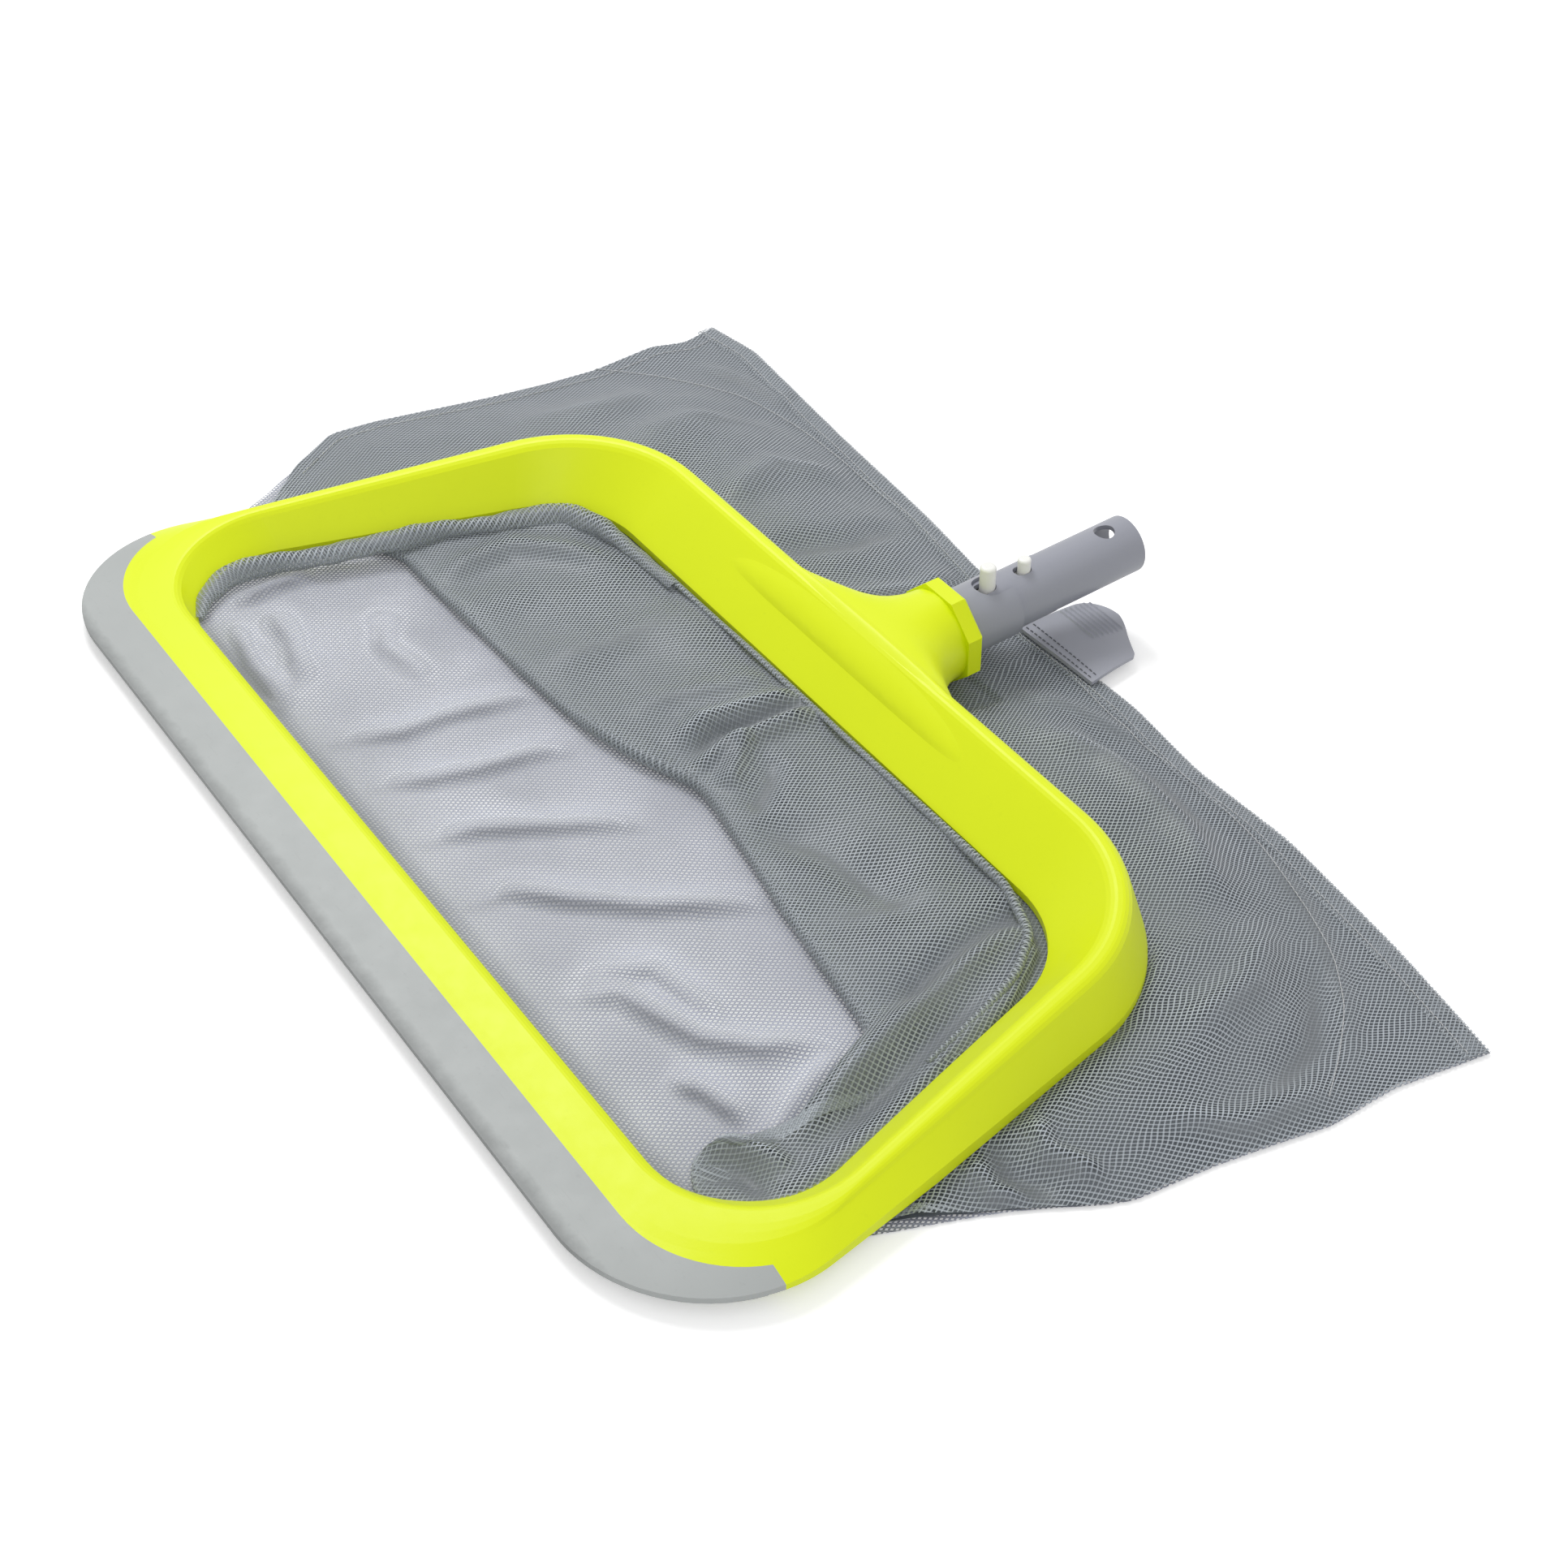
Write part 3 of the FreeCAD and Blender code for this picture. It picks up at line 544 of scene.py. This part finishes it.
# Heights that the upper ply is laid through: along the fold, in the mouth, under the bars and behind
fold_heights = [(-203, 149, 7), (-155, 156, 7), (-114, 156, 7), (-76, 156, 7), (-46, 160, 8),
                (-14, 166, 9), (10, 181, 9), (42, 177, 8), (67, 177, 8), (103, 170, 8), (134, 164, 8),
                (163, 158, 8), (184, 118, 5), (187, 88, 4), (205, 74, 4), (230, 84, 6), (236, 110, 8)]
mouth_heights = [(-150, 195, 10), (150, 195, 11), (-175, 175, 8.5), (185, 180, 12), (200, 140, 9),
                 (215, 110, 7)]
lobe_heights = [(-250, 300, 11), (-250, 240, 10), (-285, 220, 6), (-240, 345, 10), (-190, 340, 15),
                (-130, 340, 15), (-80, 335, 14), (-50, 330, 9), (0, 325, 3.2), (-25, 345, 6),
                (25, 345, 6), (0, 350, 6), (55, 330, 12), (85, 325, 17), (130, 330, 17), (170, 320, 15),
                (215, 305, 13), (245, 270, 12), (262, 235, 10), (270, 200, 8), (-270, 330, 6),
                (262, 170, 6), (-288, 180, 6), (0, 300, 8), (-40, 300, 12), (40, 300, 12)]
FLAT_EDGE = 1.8
SEAM_HEIGHT = 3.0
UPPER_LOWEST = 1.9
UPPER_HIGHEST = 24
TUCK_DEPTH = 16
FOLD_RADIUS = 3.2
MIDDLE_LOWEST = 1.5
MIDDLE_SHARE = 0.45

# Folds of the upper ply: line, height and width
ridges = [
    ([(-163, 150), (-171, 174), (-170, 197), (-150, 218), (-127, 234)], 5.0, 7.0),
    ([(-37, 174), (-36, 201), (-27, 224), (-26, 250)], 2.6, 6.0),
    ([(-7, 178), (-14, 203), (-9, 229), (-1, 256)], 5.5, 5.0),
    ([(1, 182), (-4, 206), (0, 230), (4, 254)], -4.0, 3.6),
    ([(10, 174), (9, 188), (4, 203), (6, 211), (7, 229), (8, 254)], 7.0, 4.5),
    ([(4, 213), (16, 199), (29, 184)], 6.0, 5.0),
    ([(20, 216), (34, 204), (48, 184)], -3.0, 6.0),
    ([(50, 184), (82, 200), (134, 206)], -2.4, 10.0),
    ([(155, 262), (154, 227), (160, 197), (172, 161)], -5.0, 6.0),
    ([(166, 247), (163, 221), (169, 192), (180, 157), (191, 124), (202, 99), (199, 85)], 7.0, 6.5),
    ([(193, 216), (205, 177), (213, 140), (218, 107), (223, 82), (212, 62)], 3.5, 6.0),
    ([(180, 210), (190, 174), (200, 138), (209, 104)], -3.0, 5.0),
    ([(186, 66), (192, 78), (202, 84), (216, 88)], 6.0, 4.5),
    ([(194, 60), (204, 72), (222, 76)], -3.0, 4.0),
    ([(-90, 160), (-84, 200), (-86, 240)], 2.0, 9.0),
    ([(110, 170), (120, 200), (128, 236)], 1.6, 9.0),
    ([(-150, 300), (-170, 350), (-150, 388)], 4.5, 8.0),
    ([(-110, 300), (-96, 345), (-104, 384)], -4.0, 9.0),
    ([(-220, 290), (-230, 340), (-205, 384)], 3.5, 8.0),
    ([(-270, 250), (-262, 310), (-272, 350)], 3.2, 8.0),
    ([(-60, 300), (-52, 350), (-62, 386)], 4.0, 7.0),
    ([(-290, 380), (-262, 396), (-220, 402)], 2.4, 5.0),
    ([(50, 318), (96, 340), (150, 338), (196, 320)], 6.0, 8.0),
    ([(60, 348), (110, 360), (160, 356)], -3.4, 7.0),
    ([(204, 336), (232, 300), (240, 250)], 4.8, 8.0),
    ([(226, 342), (262, 306), (276, 262)], -3.4, 7.0),
    ([(262, 214), (282, 250), (284, 300)], 3.2, 7.0),
    ([(238, 178), (256, 172), (276, 186)], 6.0, 4.5),
    ([(236, 160), (254, 156), (272, 168)], -3.0, 4.5),
    ([(240, 146), (258, 146), (266, 156)], 3.4, 4.0),
    ([(292, 300), (250, 336), (200, 362), (120, 378)], 2.0, 4.5),
    ([(30, 340), (48, 356), (90, 378)], 3.0, 5.0),
]


def upper_heights(pts):
    """Height of the upper ply at each point of its plan, before its folds."""
    control = [(x, y, FLAT_EDGE) for x, y in bag_end]
    control += [(x, y, FLAT_EDGE) for x, y in bag_left[1:-1] + bag_right[1:-1]]
    control += [(x * 0.99, y - 3, SEAM_HEIGHT) for x, y in seam[1:-1]]
    control += fold_heights
    control += [(x * 0.985, y - 2, mouth_edge_z(y) - EDGE_GAP) for x, y in mouth[2:-2] if y > 90]
    for x in (-120, -80, -40, 0, 40, 80, 120):
        control.append((x, 246, 15.0))
        control.append((x, 205, 10.5))
    control += mouth_heights
    control += [(x, 300, 13.0) for x in (-190, -140, -95, 95, 140, 190)]
    control += lobe_heights
    z = plate(control, pts)
    broad = soft_noise(pts, 60, 0.8, 3) * step(z, 2.5, 7)
    fine = soft_noise(pts, 22, 0.22, 4) * step(z, 2.5, 6)
    return z + (broad + fine)


def upper_ceiling(pts, mouth_d):
    """Height that the upper ply stays under, so that it clears the hoop and the neck."""
    in_mouth = inside(pts, mouth)
    in_outer = inside(pts, outer)
    below_bar = under_z(pts[:, 1]) - BAR_GAP
    cap = np.where(in_outer & ~in_mouth, below_bar, 60.0)
    outer_d, _ = line_distance(pts, outer + outer[:1])
    cap = np.where(~in_outer, np.minimum(cap, below_bar + outer_d * 0.7), cap)
    cap = np.where(in_mouth, mouth_edge_z(pts[:, 1]) - EDGE_GAP + mouth_d * 0.45, cap)
    off_axis = np.abs(pts[:, 0])
    under_neck = (off_axis < NECK_HALF) & (pts[:, 1] > NECK_FROM) & (pts[:, 1] < NECK_TO)
    return np.minimum(cap, np.where(under_neck, NECK_CEILING + off_axis * 0.02, 60))


def turned_edge(plan, z):
    """Rows of points that turn the front edge under in a round fold."""
    inward = plan[6] - plan[0]
    inward /= np.maximum(1e-6, np.linalg.norm(inward, axis=1))[:, None]
    radius = np.clip((z[0] - 2.2) / 2, 0.1, FOLD_RADIUS)
    rows = [np.column_stack([plan[0] + inward * TUCK_DEPTH, np.full(len(plan[0]), UPPER_LOWEST)])]
    for a in np.radians(np.linspace(180, 20, 9)):
        drop = z[0] - radius * (1 + math.cos(a))
        back = inward * (radius * math.sin(a))[:, None]
        rows.append(np.column_stack([plan[0] - back, np.maximum(FLAT_EDGE, drop)]))
    return np.array(rows)


def upper_sheet():
    """Upper ply with its folded front edge.
    Returns it, its points, their places on the flat cloth, and the number of turned rows."""
    plan = coons(upper_front, bag_end, bag_left, bag_right, rows=210, cols=330)
    pts = plan.reshape(-1, 2)
    z = upper_heights(pts)
    for line, height, width in ridges:
        z += crease(pts, line, height, width)
    mouth_d, _ = line_distance(pts, mouth + mouth[:1])
    z = np.clip(np.minimum(z, upper_ceiling(pts, mouth_d)), UPPER_LOWEST, UPPER_HIGHEST)
    z = z.reshape(plan.shape[:2])
    for _ in range(3):
        z[1:-1, 1:-1] = 0.5 * z[1:-1, 1:-1] + 0.125 * neighbours(z)
    turn = turned_edge(plan, z)
    xyz = np.concatenate([turn, np.dstack([plan, z])], 0)
    steps = np.linalg.norm(np.diff(xyz, axis=0), axis=2)
    gone = np.concatenate([np.zeros((1, xyz.shape[1])), np.cumsum(steps, 0)], 0)
    flat = np.dstack([xyz[..., 0], plan[0][None, :, 1] + gone - gone[len(turn)][None]])
    # Painted shade on one side of each ridge, painted highlight on the other and on raised places, painted
    # shade in hollows and along the hoop's edge, and more painted shade on the turned-under edge, as the
    # net's fold value.
    dark = [(line, -0.75 if height > 0 else -0.9, 3.8) for line, height, width in ridges]
    painted_highlight = [(line, 0.45, 3.4) for line, height, width in ridges if height > 3]
    tone = -0.15 + painted_light_lines(pts, dark, (2.4, -2.0))
    tone += painted_light_lines(pts, painted_highlight, (-1.4, 1.2))
    tone += soft_noise(pts, 70, 0.14, 12) - 0.5 * np.exp(-(mouth_d / 8.0) ** 2)
    tone = np.clip(tone, -1, 1).reshape(z.shape) + 0.6 * bend_of(z, 0.4)
    tone = np.concatenate([np.repeat(tone[:1] - 0.2, len(turn), 0), tone], 0)
    obj = grid_object("net_upper", xyz, flat, net_mat, np.clip(tone, -1, 1))
    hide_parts("net_upper_panel")
    return obj, xyz, flat, len(turn)


upper, upper_xyz, upper_flat, turned = upper_sheet()
laid_xyz = upper_xyz[turned:]
laid_flat = upper_flat[turned:]


def middle_sheet():
    """Second ply between the two, with a dark, nearly closed net that is painted shade showing through the
    open net.
    """
    xyz = laid_xyz.copy()
    raised = (xyz[..., 2] - UPPER_LOWEST) * MIDDLE_SHARE
    xyz[..., 2] = np.clip(MIDDLE_LOWEST + raised, MIDDLE_LOWEST, 9)
    xyz[:40, :, 2] = np.minimum(xyz[:40, :, 2], 3.0)
    return grid_object("net_middle", xyz[::2, ::2], laid_flat[::2, ::2] + 0.9, net_painted_shade)


middle = middle_sheet()


def frame_along(centre):
    """Sideways and upward directions at each point of a line."""
    tangent = np.gradient(centre, axis=0)
    tangent /= np.linalg.norm(tangent, axis=1)[:, None]
    side = np.cross(tangent, [0, 0, 1.0])
    side /= np.linalg.norm(side, axis=1)[:, None]
    return side, np.cross(side, tangent)


def roll(name, line, radii, turns, sides=18):
    """Net rolled up along a line of (x, y, z) points, thicker and thinner along its length."""
    n = 160
    c = along(line, n)
    r = np.interp(np.linspace(0, 1, n), np.linspace(0, 1, len(radii)), radii)
    side, lift = frame_along(c)
    a = np.linspace(0, 2 * math.pi, sides)
    phase = np.linspace(0, turns * 2 * math.pi, n)[:, None]
    uneven = 1 + 0.10 * np.sin(2 * a[None] + phase) + 0.05 * np.sin(5 * phase + a[None])
    ring_r = r[:, None] * uneven
    xyz = (c[:, None] + side[:, None] * (ring_r * np.cos(a))[..., None] * 1.25
           + lift[:, None] * (ring_r * np.sin(a))[..., None])
    d = lengths_along(c)
    uv = np.dstack([np.repeat(d[:, None], sides, 1), r.mean() * a[None] + 0.6 * d[:, None]])
    # Painted shade: the roll is darker, with lighter and darker bands along its turns, and its net is more
    # closed as the stacked layers would be.
    tone = np.clip(np.sin(2 * a[None] + phase) * 0.25 - 0.35, -1, 1)
    return grid_object(name, xyz, uv, net_mat, tone)


# Net gathered along the left bar and, thinner, along the back bar
rolls = [
    roll("rolled_left",
         [(-192, 48, 4.2), (-206, 58, 5.0), (-216, 74, 5.8), (-214, 92, 7.0), (-207, 113, 8.4),
          (-203, 135, 9.8), (-199, 153, 11.0), (-195, 174, 12.2), (-188, 194, 13.4), (-183, 214, 14.6),
          (-176, 230, 15.6), (-155, 240, 16.0), (-130, 242, 16.2), (-100, 243, 16.2)],
         [1.6, 3.6, 4.6, 4.4, 4.8, 4.2, 4.8, 4.0, 4.4, 5.0, 5.4, 3.4, 2.6, 2.0], turns=3.5),
    roll("rolled_back",
         [(-110, 245, 16.4), (-40, 246, 16.4), (20, 246, 16.4), (90, 246, 16.4), (140, 246, 16.2),
          (168, 236, 15.6), (182, 218, 14.6), (190, 196, 13.4), (200, 160, 11.4)],
         [1.4, 1.0, 1.2, 1.0, 1.3, 1.7, 1.8, 1.5, 0.8], turns=1.0),
]


def follow(line, inset, lift_by, n):
    """Points along a line in plan, at the height of the upper ply, moved inwards."""
    c = along(line, n)
    t = np.gradient(c, axis=0)
    t /= np.linalg.norm(t, axis=1)[:, None]
    c = c + np.column_stack([t[:, 1], -t[:, 0]]) * inset
    plan = laid_xyz[..., :2].reshape(-1, 2)
    heights = laid_xyz[..., 2].reshape(-1)
    near = np.array([heights[np.argmin(((plan - q) ** 2).sum(1))] for q in c])
    for _ in range(2):
        near[1:-1] = 0.5 * near[1:-1] + 0.25 * (near[:-2] + near[2:])
    return np.column_stack([c, near + lift_by])


# Section of the doubled hem along the end of the bag: distance from the edge, height over the ply
END_HEM = ((0.5, -0.9), (1.0, 0.3), (4.0, 0.8), (8.0, 0.8), (12.0, 0.6), (12.6, 0.1))
strip = np.stack([follow(bag_end, inset, lift_by, 260) for inset, lift_by in END_HEM])
# A fold value of -0.25 closes the hem's net a little for the doubled layer and darkens it with painted
# shade.
end_hem = grid_object("end_hem", strip, strip[..., :2] + (0.7, 0.4), net_mat,
                      np.full(strip.shape[:2], -0.25))


def stitch_line(name, points, pitch, length, thick, mat):
    """A run of separate stitches: small threads that dip into the cloth at both ends."""
    data = bpy.data.curves.new(name, "CURVE")
    data.dimensions = "3D"
    data.bevel_depth = thick / 2000.0
    data.bevel_resolution = 1
    p = np.array(points, float)
    d = lengths_along(p)
    start = 0.0
    while start + length < d[-1]:
        spline = data.splines.new("POLY")
        spline.points.add(3)
        for item, (share, dip) in zip(spline.points, ((0, 0.5), (0.25, 0), (0.75, 0), (1, 0.5))):
            x, y, z = [np.interp(start + share * length, d, p[:, i]) for i in range(3)]
            item.co = (*row(x, y, z - dip), 1.0)
        start += pitch
    data.materials.append(mat)
    obj = bpy.data.objects.new(name, data)
    bpy.context.scene.collection.objects.link(obj)
    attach(obj, BODY)
    return obj


STITCH_PITCH = 3.2
left_edge = [(x + 9, y) for x, y in bag_left[1:]]
stitch_line("seam_curved", follow(seam, inset=0.0, lift_by=0.5, n=240),
            STITCH_PITCH, length=2.7, thick=0.5, mat=thread_mat)
stitch_line("seam_end", follow(bag_end, inset=10.5, lift_by=1.2, n=240),
            STITCH_PITCH, length=2.5, thick=0.45, mat=thread_mat)
stitch_line("seam_left", follow(left_edge, inset=0.0, lift_by=0.5, n=160),
            STITCH_PITCH, length=2.5, thick=0.45, mat=thread_mat)

# Pull tab: sewn edge at y 378, free end with a large and a small corner round
TAB_SEWN_Y = 378
TAB_LENGTH = 50.0
TAB_SLANT = 15.0
TAB_THICK = 1.8
TAB_HEIGHT = 6.6
TAB_LEFT_ROUND = 16.0
TAB_RIGHT_ROUND = 7.0
TAB_COLS = 60
TAB_ROWS = 180
RIB_FIRST_Y = 403.0
RIB_PITCH = 3.0
RIB_HEIGHT = 0.9


def corner_cut(run, radius):
    """How far a corner round moves the side in, at a distance run from the sewn edge."""
    past = max(0.0, run - (TAB_LENGTH - radius))
    return radius - math.sqrt(max(0.0, radius * radius - past * past))


def rib_height(x, y):
    """Height of the tab's small cross ribs over its face."""
    k = (y - RIB_FIRST_Y) / RIB_PITCH
    if not (-8 < x < 19 and -0.5 < k < 6.5):
        return 0.0
    fade = step(np.array(x), -8, -6.5) * (1 - step(np.array(x), 17.5, 19))
    return RIB_HEIGHT * max(0.0, math.cos(2 * math.pi * k)) ** 2 * fade


def tab_surface():
    """Top face of the tab, as rows of points from the sewn edge to the free end."""
    top = np.zeros((TAB_ROWS, TAB_COLS, 3))
    for i in range(TAB_ROWS):
        v = i / (TAB_ROWS - 1)
        left = -7 - 2.0 * v + corner_cut(TAB_LENGTH * v, TAB_LEFT_ROUND)
        right = 43 - 6.5 * v - corner_cut(TAB_LENGTH * v, TAB_RIGHT_ROUND)
        for j in range(TAB_COLS):
            u = j / (TAB_COLS - 1)
            x = left + (right - left) * u
            y = TAB_SEWN_Y + (TAB_LENGTH - TAB_SLANT * u ** 1.3) * v + 2.0 * u
            lift = TAB_HEIGHT + 0.9 * math.sin(math.pi * v) - 0.8 * (u - 0.5) ** 2
            top[i, j] = (x, y, lift + rib_height(x, y))
    return top


def tab_piece(top):
    """Tab of even thickness with a closed rim, from the points of its top face."""
    bottom = top - (0, 0, TAB_THICK)
    verts = [row(*q) for face in (top, bottom) for q in face.reshape(-1, 3)]
    n = TAB_ROWS * TAB_COLS
    faces = []
    for i in range(TAB_ROWS - 1):
        for j in range(TAB_COLS - 1):
            a = i * TAB_COLS + j
            d = a + TAB_COLS
            faces.append((a, a + 1, d + 1, d))
            faces.append((n + d, n + d + 1, n + a + 1, n + a))
    rim = [(0, j) for j in range(TAB_COLS)]
    rim += [(i, TAB_COLS - 1) for i in range(1, TAB_ROWS)]
    rim += [(TAB_ROWS - 1, j) for j in range(TAB_COLS - 2, -1, -1)]
    rim += [(i, 0) for i in range(TAB_ROWS - 2, 0, -1)]
    for (i0, j0), (i1, j1) in zip(rim, rim[1:] + rim[:1]):
        a = i0 * TAB_COLS + j0
        b = i1 * TAB_COLS + j1
        faces.append((b, a, n + a, n + b))
    data = bpy.data.meshes.new("tab")
    data.from_pydata(verts, [], faces)
    data.materials.append(tab_mat.mat)
    obj = bpy.data.objects.new("tab", data)
    bpy.context.scene.collection.objects.link(obj)
    data.polygons.foreach_set("use_smooth", np.ones(len(data.polygons), bool))
    data.set_sharp_from_angle(angle=math.radians(40))
    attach(obj, BODY)
    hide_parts("pull_tab")


tab_top = tab_surface()
tab_piece(tab_top)
tab_thread = woven("tab_stitch", srgb(112, 114, 122), srgb(88, 90, 98), 0.0006)
for v in (0.05, 0.14):
    places = [(round(v * (TAB_ROWS - 1)), round(u * (TAB_COLS - 1))) for u in np.linspace(0.03, 0.97, 20)]
    stitch_line("tab_stitch", [tab_top[i, j] + (0, 0, 0.25) for i, j in places],
                pitch=2.9, length=2.1, thick=0.6, mat=tab_thread)

# Hem and cord in the groove round the mouth, drawn in the hoop's own plane and then tilted
REST_TILT = 7.5
LIP_TOP = 8.4
MOUTH_FRONT_HALF = 237
MOUTH_BACK_HALF = 183.5
MOUTH_FRONT_Y = 45
MOUTH_BACK_Y = 248.5
MOUTH_FRONT_RADIUS = 45
MOUTH_BACK_RADIUS = 48.5
GROOVE_INSET = 4.6
GROOVE_HEIGHT = -8.2
GROOVE_FALL = 0.075
HEM_RADIUS = 2.0
CORD_RADIUS = 0.9
PUCKER = 0.12
PUCKER_PITCH = 6.0


def rounded_outline(corners, radii):
    """Closed polygon with each corner replaced by an arc."""
    points = []
    for i, radius in enumerate(radii):
        c, a, b = corners[i], corners[i - 1], corners[(i + 1) % len(corners)]
        da = (a - c) / np.linalg.norm(a - c)
        db = (b - c) / np.linalg.norm(b - c)
        half = 0.5 * math.acos(float(da @ db))
        middle_way = (da + db) / np.linalg.norm(da + db)
        centre = c + middle_way * radius / math.sin(half)
        start = c + da * radius / math.tan(half) - centre
        end = c + db * radius / math.tan(half) - centre
        for t in np.linspace(0, 1, 24):
            v = start * (1 - t) + end * t
            points.append(centre + v / np.linalg.norm(v) * radius)
    return np.array(points + points[:1])


def groove_loop(n):
    """n evenly spaced points of the groove under the mouth's edge, at the hoop's rest tilt."""
    front_half = MOUTH_FRONT_HALF + GROOVE_INSET
    back_half = MOUTH_BACK_HALF + GROOVE_INSET
    front_y = MOUTH_FRONT_Y - GROOVE_INSET
    back_y = MOUTH_BACK_Y + GROOVE_INSET
    corners = np.array([(-front_half, front_y), (front_half, front_y), (back_half, back_y),
                        (-back_half, back_y)], float)
    front_r = MOUTH_FRONT_RADIUS + GROOVE_INSET
    back_r = MOUTH_BACK_RADIUS + GROOVE_INSET
    outline = rounded_outline(corners, (front_r, front_r, back_r, back_r))
    d = lengths_along(outline)
    even = np.linspace(0, d[-1], n)
    x = np.interp(even, d, outline[:, 0])
    y = np.interp(even, d, outline[:, 1])
    slope = math.atan(GROOVE_FALL)
    y, z = y * math.cos(slope), GROOVE_HEIGHT - y * math.sin(slope)
    tilt = math.radians(REST_TILT)
    laid_y = y * math.cos(tilt) - z * math.sin(tilt)
    laid_z = LIP_TOP + y * math.sin(tilt) + z * math.cos(tilt)
    return np.column_stack([x, laid_y, laid_z])


def loop_tube(name, centre, radius, pucker, mat, sides=16):
    """Tube round a closed loop, with small even puckers."""
    side, lift = frame_along(centre)
    for v in (side, lift):
        v[0] = v[-1] = (v[0] + v[-1]) / 2
    a = np.linspace(0, 2 * math.pi, sides)
    d = lengths_along(centre)
    count = np.round(d[-1] / PUCKER_PITCH)
    wave = radius + pucker * (np.cos(2 * math.pi * count * d / d[-1])[:, None] - 1) * np.ones(sides)
    xyz = (centre[:, None] + side[:, None] * (wave * np.cos(a))[..., None]
           + lift[:, None] * (wave * np.sin(a))[..., None])
    uv = np.dstack([np.repeat(d[:, None], sides, 1), np.repeat(radius * a[None], len(d), 0)])
    return grid_object(name, xyz, uv, mat)


groove = groove_loop(700)
hem = loop_tube("hem", groove, HEM_RADIUS, PUCKER, hem_mat)
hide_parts("mouth_hem")
cord = loop_tube("cord_in_hem", groove, CORD_RADIUS, 0.0, cord_mat, 12)
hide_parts("hem_cord")


# Flat sizes of the sheets
def flat_area(uv):
    """Flat size and area of a sheet, in metres, from the place of each of its points on the cloth."""
    def doubled_area(p, q):
        return np.abs(p[..., 0] * q[..., 1] - p[..., 1] * q[..., 0]).sum()

    a, b, c, d = uv[:-1, :-1], uv[:-1, 1:], uv[1:, 1:], uv[1:, :-1]
    total = 0.5 * doubled_area(b - a, c - a) + 0.5 * doubled_area(c - a, d - a)
    span = uv.reshape(-1, 2).max(0) - uv.reshape(-1, 2).min(0)
    return (span[0] / 1000, span[1] / 1000), total / 1e6


size, area = flat_area(lower_flat)
size, area = flat_area(upper_flat)
size, area = flat_area(laid_flat)


# Floor, light and camera
FLOOR_GLOW = 0.3
AMBIENT = 0.66


def make_floor():
    """Pale floor that shows white round the object and keeps its shadow."""
    m = Nodes("floor")
    tone = m.mix(m.noise(m.position(), 3.0), (0.86, 0.86, 0.86, 1), (0.9, 0.9, 0.9, 1))
    m.link(tone, m.shader.inputs["Base Color"])
    m.shader.inputs["Roughness"].default_value = 0.9
    m.shader.inputs["Emission Color"].default_value = (1, 1, 1, 1)
    ray = m.node("ShaderNodeLightPath")
    glow = m.math("MULTIPLY", ray.outputs["Is Camera Ray"], FLOOR_GLOW)
    m.link(glow, m.shader.inputs["Emission Strength"])
    bpy.ops.mesh.primitive_plane_add(size=40, location=(0, 0, 0))
    floor = bpy.context.object
    floor.name = "floor"
    floor.data.materials.append(m.mat)


def make_world():
    """Even white light, and plain white where the camera or a shiny or clear face sees it."""
    world = bpy.data.worlds.new("studio")
    bpy.context.scene.world = world
    world.use_nodes = True
    tree = world.node_tree
    background = tree.nodes["Background"]
    background.inputs["Color"].default_value = (1, 1, 1, 1)
    ray = tree.nodes.new("ShaderNodeLightPath").outputs
    seen = math_node(tree, "ADD", (ray["Is Camera Ray"], ray["Is Transmission Ray"]), True)
    seen = math_node(tree, "ADD", (seen, ray["Is Glossy Ray"]), True)
    strength = math_node(tree, "MULTIPLY_ADD", (seen, 1.0 - AMBIENT, AMBIENT))
    tree.links.new(strength, background.inputs["Strength"])


def area_light(name, place, size, power):
    """Round lamp that points at the middle of the floor."""
    data = bpy.data.lights.new(name, "AREA")
    data.shape = "DISK"
    data.size = size
    data.energy = power
    obj = bpy.data.objects.new(name, data)
    obj.location = place
    obj.rotation_euler = (-Vector(place)).to_track_quat("-Z", "Y").to_euler()
    bpy.context.scene.collection.objects.link(obj)


# Camera: place in drawing millimetres, turns in degrees, lens in millimetres
CAMERA_PLACE = (651.0, -298.6, 652.5)
CAMERA_HEADING = 140.3885
CAMERA_PITCH = -38.9099
CAMERA_ROLL = 6.8043
CAMERA_LENS = 55.2745


def make_camera():
    """Camera that sees the object as the photograph does."""
    data = bpy.data.cameras.new("camera")
    data.sensor_width = 36.0
    data.lens = CAMERA_LENS
    data.clip_start = 0.01
    cam = bpy.data.objects.new("camera", data)
    turn = (Matrix.Rotation(math.radians(CAMERA_HEADING - 90), 4, "Z")
            @ Matrix.Rotation(math.radians(90 + CAMERA_PITCH), 4, "X")
            @ Matrix.Rotation(math.radians(CAMERA_ROLL), 4, "Z"))
    cam.matrix_world = Matrix.Translation(row(*CAMERA_PLACE)) @ turn
    bpy.context.scene.collection.objects.link(cam)
    bpy.context.scene.camera = cam


make_floor()
make_world()
area_light("key", (-1.0, 0.1, 1.5), size=0.7, power=15.0)
area_light("fill", (1.4, -1.2, 1.5), size=1.4, power=9.0)
make_camera()
bpy.context.scene.view_settings.view_transform = "Standard"
